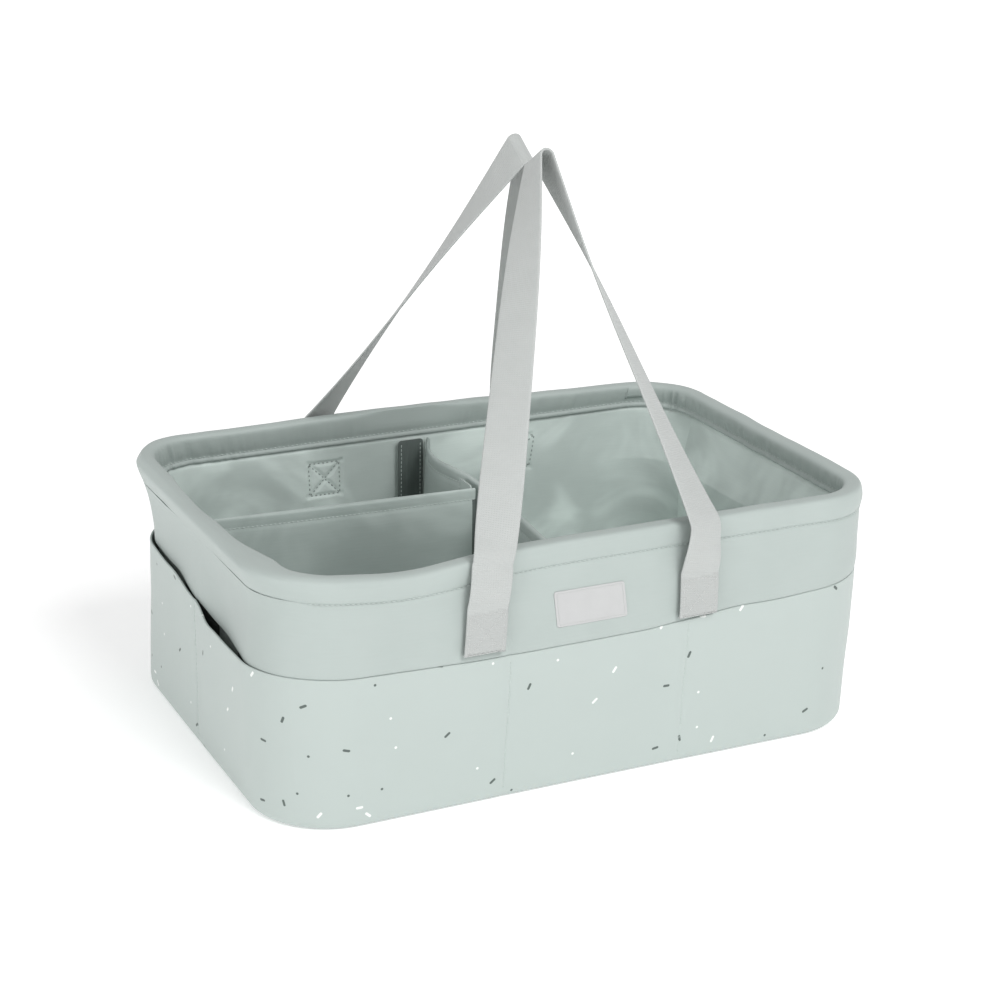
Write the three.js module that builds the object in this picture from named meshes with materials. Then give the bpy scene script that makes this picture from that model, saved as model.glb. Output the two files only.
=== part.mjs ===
// Soft-sided diaper caddy: a padded fabric tub with a band of outside pockets, two
// webbing handles sewn to the collar, and two lift-out dividers held by hook-and-loop flaps.
// Millimetres, +Z up. The origin is the middle of the underside and the front faces -Y.

import * as THREE from 'three';

// Tub
const BODY_LENGTH = 377; // outer fabric, end to end, below the flare
const BODY_WIDTH = 258; // outer fabric, front to back
const RIM_HEIGHT = 150; // crown of the rim hem above the table
const CORNER_RADIUS = 42; // upright corners of the outer fabric
const RIM_FLARE = 11.6; // how far each end leans out at the crown of the rim
const FLARE_DROP = 52; // the ends begin to lean out this far below the crown
const BASE_EDGE_RADIUS = 5; // soft edge between the walls and the underside

// Layers, from the outside in
const OUTER_FABRIC = 1.2;
const FOAM = 3;
const LINING = 1;
const BASE_BOARD = 3;
const GAP = 0.3; // clearance between neighbouring pieces

// Rim hem, folded over the top edge of the walls
const HEM_FABRIC = 1.6;
const HEM_HEIGHT = 16;
const JOIN_TAB_FABRIC = 0.8; // patch that covers the ends of the hem
const JOIN_TAB_RISE = 3; // lower edge of the patch above the hem's own edge

// Pocket band
const COLLAR_HEIGHT = 57; // plain wall between the pockets' mouths and the crown
const POCKET_FABRIC = 1.4;
const LONG_POCKET_GAPE = 6.8; // how far a front or back pocket stands open
const END_POCKET_GAPE = 5.6; // how far an end pocket stands open
const LONG_SEAM_SPACING = 115; // between the two upright seams of the front and back

// Label on the front collar
const LABEL_LENGTH = 45;
const LABEL_HEIGHT = 22.5;
const LABEL_FABRIC = 0.8;
const LABEL_CENTRE_X = -3.5;
const LABEL_DROP = 41.2; // middle of the label below the crown

// Handles
const WEBBING_WIDTH = 25;
const WEBBING = 1.5; // thickness
const HANDLE_SPACING = 138; // between the two sewn ends of a handle
const FRONT_HANDLE_X = -3; // middle of the front handle's two sewn ends
const BACK_HANDLE_X = 5.5; // middle of the back handle's two sewn ends
const FRONT_LEG_LEAN = 7; // the front legs lean this far to the right on their way to the rim
const BACK_LEG_LEAN = -2; // the back legs lean this far to the right on their way to the rim
const SEWN_END_DROP = 54; // lower edge of the sewn ends below the crown
const SEWN_END_HEIGHT = 25;
const SEWN_TURN_UNDER = 23; // length of the end that is folded under itself
const HANDLE_RISE = 195; // middle of the top fold above the crown of the rim
const CREST_INSET = 12.5; // middle of the top fold from the tub's middle plane
const FRONT_CREST_X = 16.5; // the front handle's top fold
const BACK_CREST_X = 19.5; // the back handle's top fold
const CREST_RADIUS = 4; // bend of the top fold, at the webbing's middle
const TWIST_EASE = 0.8; // below 1, a leg does more of its quarter turn low down
const RIM_BEND = 5; // reach of the bend where the webbing passes the rim

// Dividers
const DIVIDER_DROP = 18; // top of the dividers below the crown
const DIVIDER_CORE = 4;
const DIVIDER_FABRIC = 1;
const CROSS_X = 1; // cross divider where the long divider grips it
const CROSS_LEAN = 9; // the cross divider's front end stands this far to the left
const CROSS_WAIST = 5.5; // it swings this far to the left behind the long divider
const CROSS_WAIST_Y = 75; // where it swings furthest
const CROSS_BOW = 7; // its back end stands this far to the right
const LONG_LEFT_Y = 27; // long divider at the left end
const LONG_RIGHT_Y = 17; // long divider at the cross divider

// Hook-and-loop flaps
const FLAP_WIDTH = 18;
const FLAP_FABRIC = 1.2;
const FLAP_RAISE = 6; // lower edge of a flap above the divider's lower edge
const HOOK_TAPE = 1;
const LIFT_CLEARANCE = 0.2; // the hook tapes pass the rim hem by this and a gap
const TAPE_MARGIN = 2; // fabric left round a tape on its flap
const TAPE_END_MARGIN = 8; // fabric left above and below a tape
const STRIP_CORNER = 1.5; // rounded corners of tapes, flaps and the label

// Facets
const CORNER_STEPS = 8;
const EDGE_STEPS = 3;
const FLARE_STEPS = 4;
const CROWN_STEPS = 6;
const CORD_SIDES = 10;
const CELL_STEPS = 8;
const POCKET_STEPS = 6;
const LEG_STEPS = 16;
const CREST_STEPS = 8;
const BEND_STEPS = 4;
const DIVIDER_STEPS = 24;

// Values that follow from the sizes above
const WALL = OUTER_FABRIC + GAP + FOAM + GAP + LINING;
const WALL_BOTTOM = OUTER_FABRIC + GAP;
const FLOOR_TOP = WALL_BOTTOM + BASE_BOARD + GAP + LINING;
const HEM_INNER_HALF = WALL / 2 + GAP;
const HEM_OUTER_HALF = HEM_INNER_HALF + HEM_FABRIC;
const CROWN_CENTRE_Z = RIM_HEIGHT - HEM_OUTER_HALF;
const WALL_TOP = CROWN_CENTRE_Z - WALL / 2 - GAP;
const HEM_BOTTOM = RIM_HEIGHT - HEM_HEIGHT;
const FLARE_START = RIM_HEIGHT - FLARE_DROP;
const POCKET_HEIGHT = RIM_HEIGHT - COLLAR_HEIGHT;
const HALF_LENGTH = BODY_LENGTH / 2;
const HALF_WIDTH = BODY_WIDTH / 2;
const LOOP_TAPE = HEM_FABRIC + LIFT_CLEARANCE;
const DIVIDER_BOTTOM = FLOOR_TOP + GAP;
const DIVIDER_HALF = DIVIDER_CORE / 2 + GAP + DIVIDER_FABRIC;
const FLAP_STAND_OFF = GAP + LOOP_TAPE + GAP + HOOK_TAPE + GAP; // flap's back to what it grips
const SEWN_END_BOTTOM = RIM_HEIGHT - SEWN_END_DROP;
const SEWN_END_TOP = SEWN_END_BOTTOM + SEWN_END_HEIGHT;
const HANDLE_CREST = RIM_HEIGHT + HANDLE_RISE;
const DIVIDER_TOP = RIM_HEIGHT - DIVIDER_DROP;

// Finishes
const sage = new THREE.MeshStandardMaterial({ color: 0xb9c8c1, roughness: 0.75, metalness: 0 });
const mint = new THREE.MeshStandardMaterial({ color: 0xc3d3cc, roughness: 0.75, metalness: 0 });
const liningSage = new THREE.MeshStandardMaterial({ color: 0xa3b0aa, roughness: 0.8, metalness: 0 });
const webbingGrey = new THREE.MeshStandardMaterial({ color: 0xc3c6c4, roughness: 0.85, metalness: 0 });
const labelWhite = new THREE.MeshStandardMaterial({ color: 0xe4e6e2, roughness: 0.7, metalness: 0 });
const foamWhite = new THREE.MeshStandardMaterial({ color: 0xe9e9e4, roughness: 0.95, metalness: 0 });
const boardGrey = new THREE.MeshStandardMaterial({ color: 0x8d8f8c, roughness: 0.6, metalness: 0 });
const tapeGrey = new THREE.MeshStandardMaterial({ color: 0x9aa6a1, roughness: 0.95, metalness: 0 });

// Solids from rings of points

function signedVolume(points, index) {
  let volume = 0;
  for (let i = 0; i < index.length; i += 3) {
    const cross = points[index[i + 1]].clone().cross(points[index[i + 2]]);
    volume += points[index[i]].dot(cross) / 6;
  }
  return volume;
}

// Joins rings of points into one closed solid. With an outline the two end rings are
// capped; without one the last ring joins the first. A twisted strip's far face is split
// along the same diagonals as its near face, so that it keeps its thickness.
function loft(rings, outline = null, twisted = false) {
  const size = rings[0].length;
  const spans = outline ? rings.length - 1 : rings.length;
  const points = rings.flat();
  const index = [];
  for (let i = 0; i < spans; i += 1) {
    const here = i * size;
    const next = ((i + 1) % rings.length) * size;
    for (let j = 0; j < size; j += 1) {
      const k = (j + 1) % size;
      if (twisted && j >= size / 2) {
        index.push(here + j, next + j, here + k, next + j, next + k, here + k);
      } else {
        index.push(here + j, next + j, next + k, here + j, next + k, here + k);
      }
    }
  }
  if (outline) {
    const last = (rings.length - 1) * size;
    const clockwise = THREE.ShapeUtils.isClockWise(outline);
    for (const face of THREE.ShapeUtils.triangulateShape(outline, [])) {
      const [a, b, c] = clockwise ? face.toReversed() : face;
      index.push(a, b, c, last + a, last + c, last + b);
    }
  }
  const facing = signedVolume(points, index) < 0 ? index.toReversed() : index;
  const geometry = new THREE.BufferGeometry();
  geometry.setFromPoints(points);
  geometry.setIndex(facing);
  geometry.computeVertexNormals();
  return geometry;
}

function piece(name, geometry, material) {
  const mesh = new THREE.Mesh(geometry, material);
  mesh.name = name;
  return mesh;
}

function span(from, to, steps) {
  return Array.from({ length: steps + 1 }, (_, i) => from + ((to - from) * i) / steps);
}

function arc(centreX, centreY, radius, fromAngle, toAngle, steps) {
  return span(fromAngle, toAngle, steps).map(
    (angle) => new THREE.Vector2(centreX + radius * Math.cos(angle), centreY + radius * Math.sin(angle)),
  );
}

// A strip of fabric or tape folded over an edge: two legs and a half-round crown
function foldedOver(middle, inner, outer, bottom, crownCentre) {
  return [
    new THREE.Vector2(middle + outer, bottom),
    ...arc(middle, crownCentre, outer, 0, Math.PI, CROWN_STEPS),
    new THREE.Vector2(middle - outer, bottom),
    new THREE.Vector2(middle - inner, bottom),
    ...arc(middle, crownCentre, inner, Math.PI, 0, CROWN_STEPS),
    new THREE.Vector2(middle + inner, bottom),
  ];
}

// The tub's outline: a rounded rectangle whose ends flare and whose foot is rounded

function flare(z) {
  const rise = Math.max(0, z - FLARE_START) / (RIM_HEIGHT - FLARE_START);
  return RIM_FLARE * rise * rise;
}

function footTuck(z) {
  const below = Math.max(0, BASE_EDGE_RADIUS - z);
  return BASE_EDGE_RADIUS - Math.sqrt(BASE_EDGE_RADIUS ** 2 - below ** 2);
}

// A place on the outline: acrossX and acrossY run from -1 to 1 between the corner
// centres, and angle is the direction that the wall faces there.
function wallPoint(place, offset, z) {
  const radius = CORNER_RADIUS - footTuck(z) + offset;
  return new THREE.Vector3(
    place.acrossX * (HALF_LENGTH + flare(z) - CORNER_RADIUS) + radius * Math.cos(place.angle),
    place.acrossY * (HALF_WIDTH - CORNER_RADIUS) + radius * Math.sin(place.angle),
    z,
  );
}

function cornerPlaces(quarter, fromShare = 0, toShare = 1) {
  const acrossX = quarter === 0 || quarter === 3 ? 1 : -1;
  const acrossY = quarter < 2 ? 1 : -1;
  const steps = Math.round((toShare - fromShare) * CORNER_STEPS);
  return span(fromShare, toShare, steps).map((share) => (
    { acrossX, acrossY, angle: ((quarter + share) * Math.PI) / 2 }
  ));
}

const allRound = [0, 1, 2, 3].flatMap((quarter) => cornerPlaces(quarter));

// A ring that runs right round the tub with one section, given as offsets from the
// outer fabric's face and heights
function bandAllRound(section) {
  return loft(allRound.map((place) => section.map((point) => wallPoint(place, point.x, point.y))));
}

function wallHeights(bottom, top) {
  const foot = bottom < BASE_EDGE_RADIUS ? span(bottom, BASE_EDGE_RADIUS, EDGE_STEPS) : [bottom];
  return [...foot, ...span(FLARE_START, top, FLARE_STEPS)];
}

function wallLayer(depth, thickness, bottom) {
  const heights = wallHeights(bottom, WALL_TOP);
  const outside = heights.map((z) => new THREE.Vector2(-depth, z));
  const inside = heights.toReversed().map((z) => new THREE.Vector2(-depth - thickness, z));
  return bandAllRound([...outside, ...inside]);
}

function floorLayer(depth, heights) {
  const rings = heights.map((z) => allRound.map((place) => wallPoint(place, -depth, z)));
  return loft(rings, rings[0].map((point) => new THREE.Vector2(point.x, point.y)));
}

// Flat strips with rounded corners: labels, tapes and flaps

// Lies in the XZ plane, centred on the origin, with its thickness along Y
function strip(length, height, thickness) {
  const corner = STRIP_CORNER;
  const x = length / 2 - corner;
  const y = height / 2 - corner;
  const outline = new THREE.Shape();
  outline.absarc(x, y, corner, 0, Math.PI / 2);
  outline.absarc(-x, y, corner, Math.PI / 2, Math.PI);
  outline.absarc(-x, -y, corner, Math.PI, 1.5 * Math.PI);
  outline.absarc(x, -y, corner, 1.5 * Math.PI, 2 * Math.PI);
  outline.closePath();
  const geometry = new THREE.ExtrudeGeometry(outline, {
    depth: thickness, bevelEnabled: false, curveSegments: EDGE_STEPS,
  });
  geometry.translate(0, 0, -thickness / 2);
  geometry.rotateX(Math.PI / 2);
  return geometry;
}

// Tub

const base = new THREE.Group();
const boardDepth = OUTER_FABRIC + GAP + FOAM + GAP;
const boardTop = WALL_BOTTOM + BASE_BOARD;
base.add(
  piece('base_cover', floorLayer(0, span(0, OUTER_FABRIC, EDGE_STEPS)), mint),
  piece('base_board', floorLayer(boardDepth, span(WALL_BOTTOM, boardTop, EDGE_STEPS)), boardGrey),
  piece('base_lining', floorLayer(boardDepth, [boardTop + GAP, FLOOR_TOP]), liningSage),
);

const walls = new THREE.Group();
walls.add(
  piece('outer_wall', wallLayer(0, OUTER_FABRIC, WALL_BOTTOM), sage),
  piece('wall_foam', wallLayer(OUTER_FABRIC + GAP, FOAM, WALL_BOTTOM), foamWhite),
  piece('lining_wall', wallLayer(boardDepth, LINING, FLOOR_TOP + GAP), liningSage),
);

const hemSection = foldedOver(-WALL / 2, HEM_INNER_HALF, HEM_OUTER_HALF, HEM_BOTTOM, CROWN_CENTRE_Z);
const cordSection = arc(-WALL / 2, CROWN_CENTRE_Z, WALL / 2, 0, 2 * Math.PI, CORD_SIDES).slice(1);

// The patch covers one facet and a half of the hem beside the back right corner
function joinTab() {
  const inner = HEM_OUTER_HALF + GAP;
  const outer = inner + JOIN_TAB_FABRIC;
  const section = foldedOver(-WALL / 2, inner, outer, HEM_BOTTOM + JOIN_TAB_RISE, CROWN_CENTRE_Z);
  const places = cornerPlaces(0, 0.75, 1);
  return loft(places.map((place) => section.map((point) => wallPoint(place, point.x, point.y))), section);
}

const rim = new THREE.Group();
rim.add(
  piece('rim_hem', bandAllRound(hemSection), sage),
  piece('rim_cord', bandAllRound(cordSection), foamWhite),
  piece('rim_join_tab', joinTab(), sage),
);

// Pockets

// Places along one side of the tub, from the middle of one corner to the middle of the
// next, with the share of the way across its own pocket for each
function pocketPlaces(side, seamShares) {
  const angle = (side * Math.PI) / 2;
  const alongX = side % 2 === 1;
  const sign = side < 2 ? 1 : -1;
  const nearCorner = cornerPlaces((side + 3) % 4, 0.5, 1);
  const farCorner = cornerPlaces(side, 0, 0.5);
  const turn = GAP / (CORNER_RADIUS + GAP);
  nearCorner[0].angle += turn;
  farCorner.at(-1).angle -= turn;
  const direction = side === 1 || side === 2 ? -1 : 1;
  const stops = [-1, ...seamShares, 1];
  const straight = stops.slice(1).flatMap((stop, i) => (
    span(stops[i], stop, CELL_STEPS).slice(1).map(
      (share, step) => ({ share, seam: step === CELL_STEPS - 1 }),
    )
  ));
  const along = straight.slice(0, -1).map(({ share, seam }) => ({
    acrossX: alongX ? direction * share : sign,
    acrossY: alongX ? sign : direction * share,
    angle,
    seam,
  }));
  const places = [...nearCorner, ...along, ...farCorner];
  const points = places.map((place) => wallPoint(place, 0, POCKET_HEIGHT));
  const reach = [0];
  points.slice(1).forEach((point, i) => reach.push(reach[i] + point.distanceTo(points[i])));
  const seams = [0, ...reach.filter((_, i) => places[i].seam), reach.at(-1)];
  return places.map((place, i) => {
    const cell = Math.max(0, seams.findLastIndex((start) => start < reach[i]));
    const share = (reach[i] - seams[cell]) / (seams[cell + 1] - seams[cell]);
    return { place, share };
  });
}

// A pocket lies on the wall at its seams and at its foot, and stands open at its mouth
function pocketBand(side, gape, seamShares) {
  const climbs = span(0, 1, POCKET_STEPS);
  const heightAt = (climb) => WALL_BOTTOM + climb * climb * (POCKET_HEIGHT - WALL_BOTTOM);
  const standOff = (share, climb) => {
    const across = 1 - (2 * share - 1) ** 4;
    return GAP + gape * across * Math.sin((climb * climb * Math.PI) / 2);
  };
  const section = (share) => [
    ...climbs.map((climb) => new THREE.Vector2(standOff(share, climb) + POCKET_FABRIC, heightAt(climb))),
    ...climbs.toReversed().map((climb) => new THREE.Vector2(standOff(share, climb), heightAt(climb))),
  ];
  const rings = pocketPlaces(side, seamShares).map(({ place, share }) => (
    section(share).map((point) => wallPoint(place, point.x, point.y))
  ));
  return loft(rings, section(0));
}

const seamShare = LONG_SEAM_SPACING / 2 / (HALF_LENGTH - CORNER_RADIUS);
const pockets = new THREE.Group();
pockets.add(
  piece('pocket_front', pocketBand(3, LONG_POCKET_GAPE, [-seamShare, seamShare]), mint),
  piece('pocket_back', pocketBand(1, LONG_POCKET_GAPE, [-seamShare, seamShare]), mint),
  piece('pocket_left', pocketBand(2, END_POCKET_GAPE, [0]), mint),
  piece('pocket_right', pocketBand(0, END_POCKET_GAPE, [0]), mint),
);

const label = piece('label_patch', strip(LABEL_LENGTH, LABEL_HEIGHT, LABEL_FABRIC), labelWhite);
label.position.set(LABEL_CENTRE_X, -(HALF_WIDTH + GAP + LABEL_FABRIC / 2), RIM_HEIGHT - LABEL_DROP);

// Handles

// The webbing's end, folded under itself and sewn flat to the collar
function sewnEnd() {
  const under = GAP + WEBBING;
  const over = under + GAP;
  const foldTop = SEWN_END_BOTTOM + WEBBING;
  const section = [
    new THREE.Vector2(GAP, SEWN_END_BOTTOM + SEWN_TURN_UNDER),
    new THREE.Vector2(GAP, SEWN_END_BOTTOM),
    new THREE.Vector2(over + WEBBING, SEWN_END_BOTTOM),
    new THREE.Vector2(over + WEBBING, SEWN_END_TOP),
    new THREE.Vector2(over, SEWN_END_TOP),
    new THREE.Vector2(over, foldTop),
    new THREE.Vector2(under, foldTop),
    new THREE.Vector2(under, SEWN_END_BOTTOM + SEWN_TURN_UNDER),
  ];
  const edges = [-WEBBING_WIDTH / 2, WEBBING_WIDTH / 2];
  const rings = edges.map((x) => section.map((point) => new THREE.Vector3(x, -point.x, point.y)));
  return loft(rings, section);
}

const xAxis = new THREE.Vector3(1, 0, 0);
const zAxis = new THREE.Vector3(0, 0, 1);

// The free loop of webbing. Each leg leaves its sewn end flat against the collar, bends
// in past the rim, and turns a quarter round on its way up, so that the top fold runs
// square to the loop. A front loop is made here, and a back one is its mirror image.
function handleLoop(side, middle, legLean, crestX) {
  const sewnY = -(HALF_WIDTH + GAP + WEBBING + GAP + WEBBING / 2);
  const rimY = -(HALF_WIDTH + GAP + HEM_FABRIC + GAP + WEBBING / 2);
  const footZ = SEWN_END_TOP + GAP;
  const rimZ = RIM_HEIGHT - HEM_FABRIC + GAP;
  const lean = Math.atan2(-rimY - CREST_INSET, HANDLE_CREST - rimZ);
  const up = new THREE.Vector3(0, Math.sin(lean), Math.cos(lean));
  const square = new THREE.Vector3(0, Math.cos(lean), -Math.sin(lean));
  const onPlane = (x, climb) => new THREE.Vector3(x, rimY, rimZ).addScaledVector(up, climb);
  const crestClimb = Math.hypot(-rimY - CREST_INSET, HANDLE_CREST - rimZ) - CREST_RADIUS - WEBBING / 2;

  // Where each leg touches the circle of the top fold
  const leftX = middle - HANDLE_SPACING / 2;
  const rightX = middle + HANDLE_SPACING / 2;
  const touchAngle = (rimX) => {
    const reach = Math.hypot(rimX - crestX, crestClimb);
    const towardsRim = Math.atan2(-crestClimb, rimX - crestX);
    return towardsRim + Math.sign(rimX - crestX) * Math.acos(CREST_RADIUS / reach);
  };
  const leftAngle = touchAngle(leftX + legLean) + 2 * Math.PI;
  const rightAngle = touchAngle(rightX + legLean);
  const fold = arc(crestX, crestClimb, CREST_RADIUS, leftAngle, rightAngle, CREST_STEPS);
  const crest = fold.map((point) => onPlane(point.x, point.y));

  // One leg, from its sewn end up to the fold, with the share of its quarter turn
  const leg = (footX, top) => {
    const corner = onPlane(footX + legLean, 0);
    const foot = new THREE.Vector3(footX, sewnY, footZ);
    const slope = legLean / (rimZ - footZ);
    const below = corner.clone().add(new THREE.Vector3(-slope * RIM_BEND, 0, -RIM_BEND));
    const above = corner.clone().addScaledVector(top.clone().sub(corner).normalize(), RIM_BEND);
    const bend = new THREE.QuadraticBezierCurve3(below, corner, above).getPoints(BEND_STEPS);
    const climb = new THREE.LineCurve3(above, top).getPoints(LEG_STEPS).slice(1);
    const turns = span(0, 1, LEG_STEPS).slice(1);
    return [
      { at: foot, turn: 0 },
      ...bend.map((at) => ({ at, turn: 0 })),
      ...climb.map((at, i) => ({ at, turn: turns[i] ** TWIST_EASE })),
    ];
  };
  const left = leg(leftX, crest[0]).map((stop) => ({ ...stop, hand: 1 }));
  const right = leg(rightX, crest.at(-1)).map((stop) => ({ ...stop, hand: -1 }));
  const over = crest.slice(1, -1).map((at) => ({ at, turn: 1, hand: 1 }));
  const route = [...left, ...over, ...right.toReversed()];

  const rings = route.map(({ at, turn, hand }, i) => {
    const atFoot = i === 0 || i === route.length - 1;
    const along = zAxis.clone().multiplyScalar(hand);
    if (!atFoot) along.subVectors(route[i + 1].at, route[i - 1].at).normalize();
    const flat = xAxis.clone().addScaledVector(along, -xAxis.dot(along)).normalize();
    const angle = (turn * Math.PI) / 2;
    const across = square.clone().multiplyScalar(-Math.sin(angle));
    across.addScaledVector(flat, hand * Math.cos(angle));
    const face = across.clone().cross(along).normalize();
    const corners = [[1, 1], [-1, 1], [-1, -1], [1, -1]];
    return corners.map(([a, b]) => {
      const point = at.clone().addScaledVector(across, (a * WEBBING_WIDTH) / 2);
      point.addScaledVector(face, (b * WEBBING) / 2);
      point.y *= -side;
      return point;
    });
  });
  const outline = [[1, 1], [-1, 1], [-1, -1], [1, -1]].map(([a, b]) => new THREE.Vector2(a, b));
  return loft(rings, outline, true);
}

const handles = new THREE.Group();
for (const [word, side, middle, legLean, crestX] of [
  ['front', -1, FRONT_HANDLE_X, FRONT_LEG_LEAN, FRONT_CREST_X],
  ['back', 1, BACK_HANDLE_X, BACK_LEG_LEAN, BACK_CREST_X],
]) {
  const sewn = new THREE.Group();
  sewn.position.y = side * HALF_WIDTH;
  sewn.rotation.z = side > 0 ? Math.PI : 0;
  for (const [hand, x] of [['left', -1], ['right', 1]]) {
    const end = piece(`handle_end_${word}_${hand}`, sewnEnd(), webbingGrey);
    end.position.x = -side * (middle + x * (HANDLE_SPACING / 2));
    sewn.add(end);
  }
  const loop = handleLoop(side, middle, legLean, crestX);
  handles.add(sewn, piece(`handle_${word}_strap`, loop, webbingGrey));
}

// Dividers

// Sweeps an upright section along a divider's middle line. The section's width runs
// along X on the cross divider and along Y on the long one.
function upright(line, widthAxis, section) {
  const rings = line.map((middle) => section.map((point) => (
    middle.clone().addScaledVector(widthAxis, point.x).setZ(point.y)
  )));
  return loft(rings, section);
}

function sleeveSection() {
  return foldedOver(0, DIVIDER_CORE / 2 + GAP, DIVIDER_HALF, DIVIDER_BOTTOM, DIVIDER_TOP - DIVIDER_HALF);
}

function coreSection() {
  const half = DIVIDER_CORE / 2;
  return [
    new THREE.Vector2(half, DIVIDER_BOTTOM),
    ...arc(0, DIVIDER_TOP - DIVIDER_HALF, half, 0, Math.PI, CROWN_STEPS),
    new THREE.Vector2(-half, DIVIDER_BOTTOM),
  ];
}

const yAxis = new THREE.Vector3(0, 1, 0);
const FLAP_BOTTOM = DIVIDER_BOTTOM + FLAP_RAISE;
const flapHeight = DIVIDER_TOP - FLAP_BOTTOM;
const flapMiddle = (DIVIDER_TOP + FLAP_BOTTOM) / 2;
const tapeWidth = FLAP_WIDTH - 2 * TAPE_MARGIN;
const tapeHeight = flapHeight - 2 * TAPE_END_MARGIN;
const endTapeHeight = FLARE_START - FLAP_BOTTOM - TAPE_END_MARGIN;
const endTapeMiddle = (FLARE_START + FLAP_BOTTOM + TAPE_END_MARGIN) / 2;

// A flap with its hook tape and the loop tape that it grips, stacked towards -Y from the
// gripped face at y = 0, with the flap running towards -X from its fold at x = 0
function gripStack(names, height, middle) {
  const loop = piece(names.loop, strip(tapeWidth, height, LOOP_TAPE), tapeGrey);
  const hook = piece(names.hook, strip(tapeWidth, height, HOOK_TAPE), tapeGrey);
  const flap = piece(names.flap, strip(FLAP_WIDTH, flapHeight, FLAP_FABRIC), liningSage);
  loop.position.set(-FLAP_WIDTH / 2, -(GAP + LOOP_TAPE / 2), middle);
  hook.position.set(-FLAP_WIDTH / 2, -(GAP + LOOP_TAPE + GAP + HOOK_TAPE / 2), middle);
  flap.position.set(-FLAP_WIDTH / 2, -(FLAP_STAND_OFF + FLAP_FABRIC / 2), flapMiddle);
  const stack = new THREE.Group();
  stack.add(loop, hook, flap);
  return stack;
}

const liningY = HALF_WIDTH - WALL;
const liningX = HALF_LENGTH - WALL;
const crossEndY = liningY - FLAP_STAND_OFF;
const longLeftX = -(liningX - FLAP_STAND_OFF);
const crossFaceX = CROSS_X - DIVIDER_HALF;
const longRightX = crossFaceX - FLAP_STAND_OFF;

// The cross divider's middle line is straight where the long divider's flap grips it and
// beside its own flaps, and swings to and fro between them
const gripFromY = LONG_RIGHT_Y + DIVIDER_HALF + GAP;
const gripToY = gripFromY + FLAP_WIDTH;
const crossTurnY = crossEndY - FLAP_FABRIC - GAP;

function crossX(y) {
  const lean = THREE.MathUtils.smoothstep(y, -crossTurnY, gripFromY);
  const waist = THREE.MathUtils.smoothstep(y, gripToY, CROSS_WAIST_Y);
  const bow = THREE.MathUtils.clamp((y - CROSS_WAIST_Y) / (crossTurnY - CROSS_WAIST_Y), 0, 1) ** 2;
  return CROSS_X - CROSS_LEAN * (1 - lean) - CROSS_WAIST * (waist - bow) + CROSS_BOW * bow;
}

const crossStops = [
  -crossEndY,
  ...span(-crossTurnY, gripFromY, DIVIDER_STEPS / 2),
  ...span(gripToY, crossTurnY, DIVIDER_STEPS / 2),
  crossEndY,
];
const crossLine = crossStops.map((y) => new THREE.Vector3(crossX(y), y, 0));
const longLine = [
  new THREE.Vector3(longLeftX, LONG_LEFT_Y, 0),
  new THREE.Vector3(longRightX, LONG_RIGHT_Y, 0),
];

const dividers = new THREE.Group();
dividers.add(
  piece('cross_divider_sleeve', upright(crossLine, xAxis, sleeveSection()), liningSage),
  piece('cross_divider_core', upright(crossLine, xAxis, coreSection()), boardGrey),
  piece('long_divider_sleeve', upright(longLine, yAxis, sleeveSection()), liningSage),
  piece('long_divider_core', upright(longLine, yAxis, coreSection()), boardGrey),
);

const backGrip = gripStack(
  { loop: 'loop_tape_back', hook: 'hook_tape_cross_back', flap: 'cross_flap_back' },
  tapeHeight,
  flapMiddle,
);
backGrip.position.set(crossFaceX + CROSS_BOW - GAP, liningY, 0);

const frontGrip = gripStack(
  { loop: 'loop_tape_front', hook: 'hook_tape_cross_front', flap: 'cross_flap_front' },
  tapeHeight,
  flapMiddle,
);
frontGrip.rotation.z = Math.PI;
frontGrip.position.set(CROSS_X - CROSS_LEAN + DIVIDER_HALF + GAP, -liningY, 0);

const leftGrip = gripStack(
  { loop: 'loop_tape_left', hook: 'hook_tape_long_left', flap: 'long_flap_left' },
  endTapeHeight,
  endTapeMiddle,
);
leftGrip.rotation.z = Math.PI / 2;
leftGrip.position.set(-liningX, LONG_LEFT_Y - DIVIDER_HALF - GAP, 0);

const crossGrip = gripStack(
  { loop: 'loop_tape_cross', hook: 'hook_tape_long_right', flap: 'long_flap_right' },
  tapeHeight,
  flapMiddle,
);
crossGrip.rotation.z = -Math.PI / 2;
crossGrip.position.set(crossFaceX, gripFromY, 0);

const caddy = new THREE.Group();
caddy.add(base, walls, rim, pockets, label, handles, dividers, backGrip, frontGrip, leftGrip, crossGrip);

export default caddy;
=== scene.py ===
# %% [markdown]
# # A diaper caddy
# This is a soft tub of padded satin fabric with a rounded rim, a band of pockets round the
# outside, two webbing handles and two lift-out dividers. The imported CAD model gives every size
# and every joint. This lesson sews the visible pieces around it, one seam at a time.

# %% The frame
import math

import bmesh
import bpy
from mathutils import Matrix, Vector, noise


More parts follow.
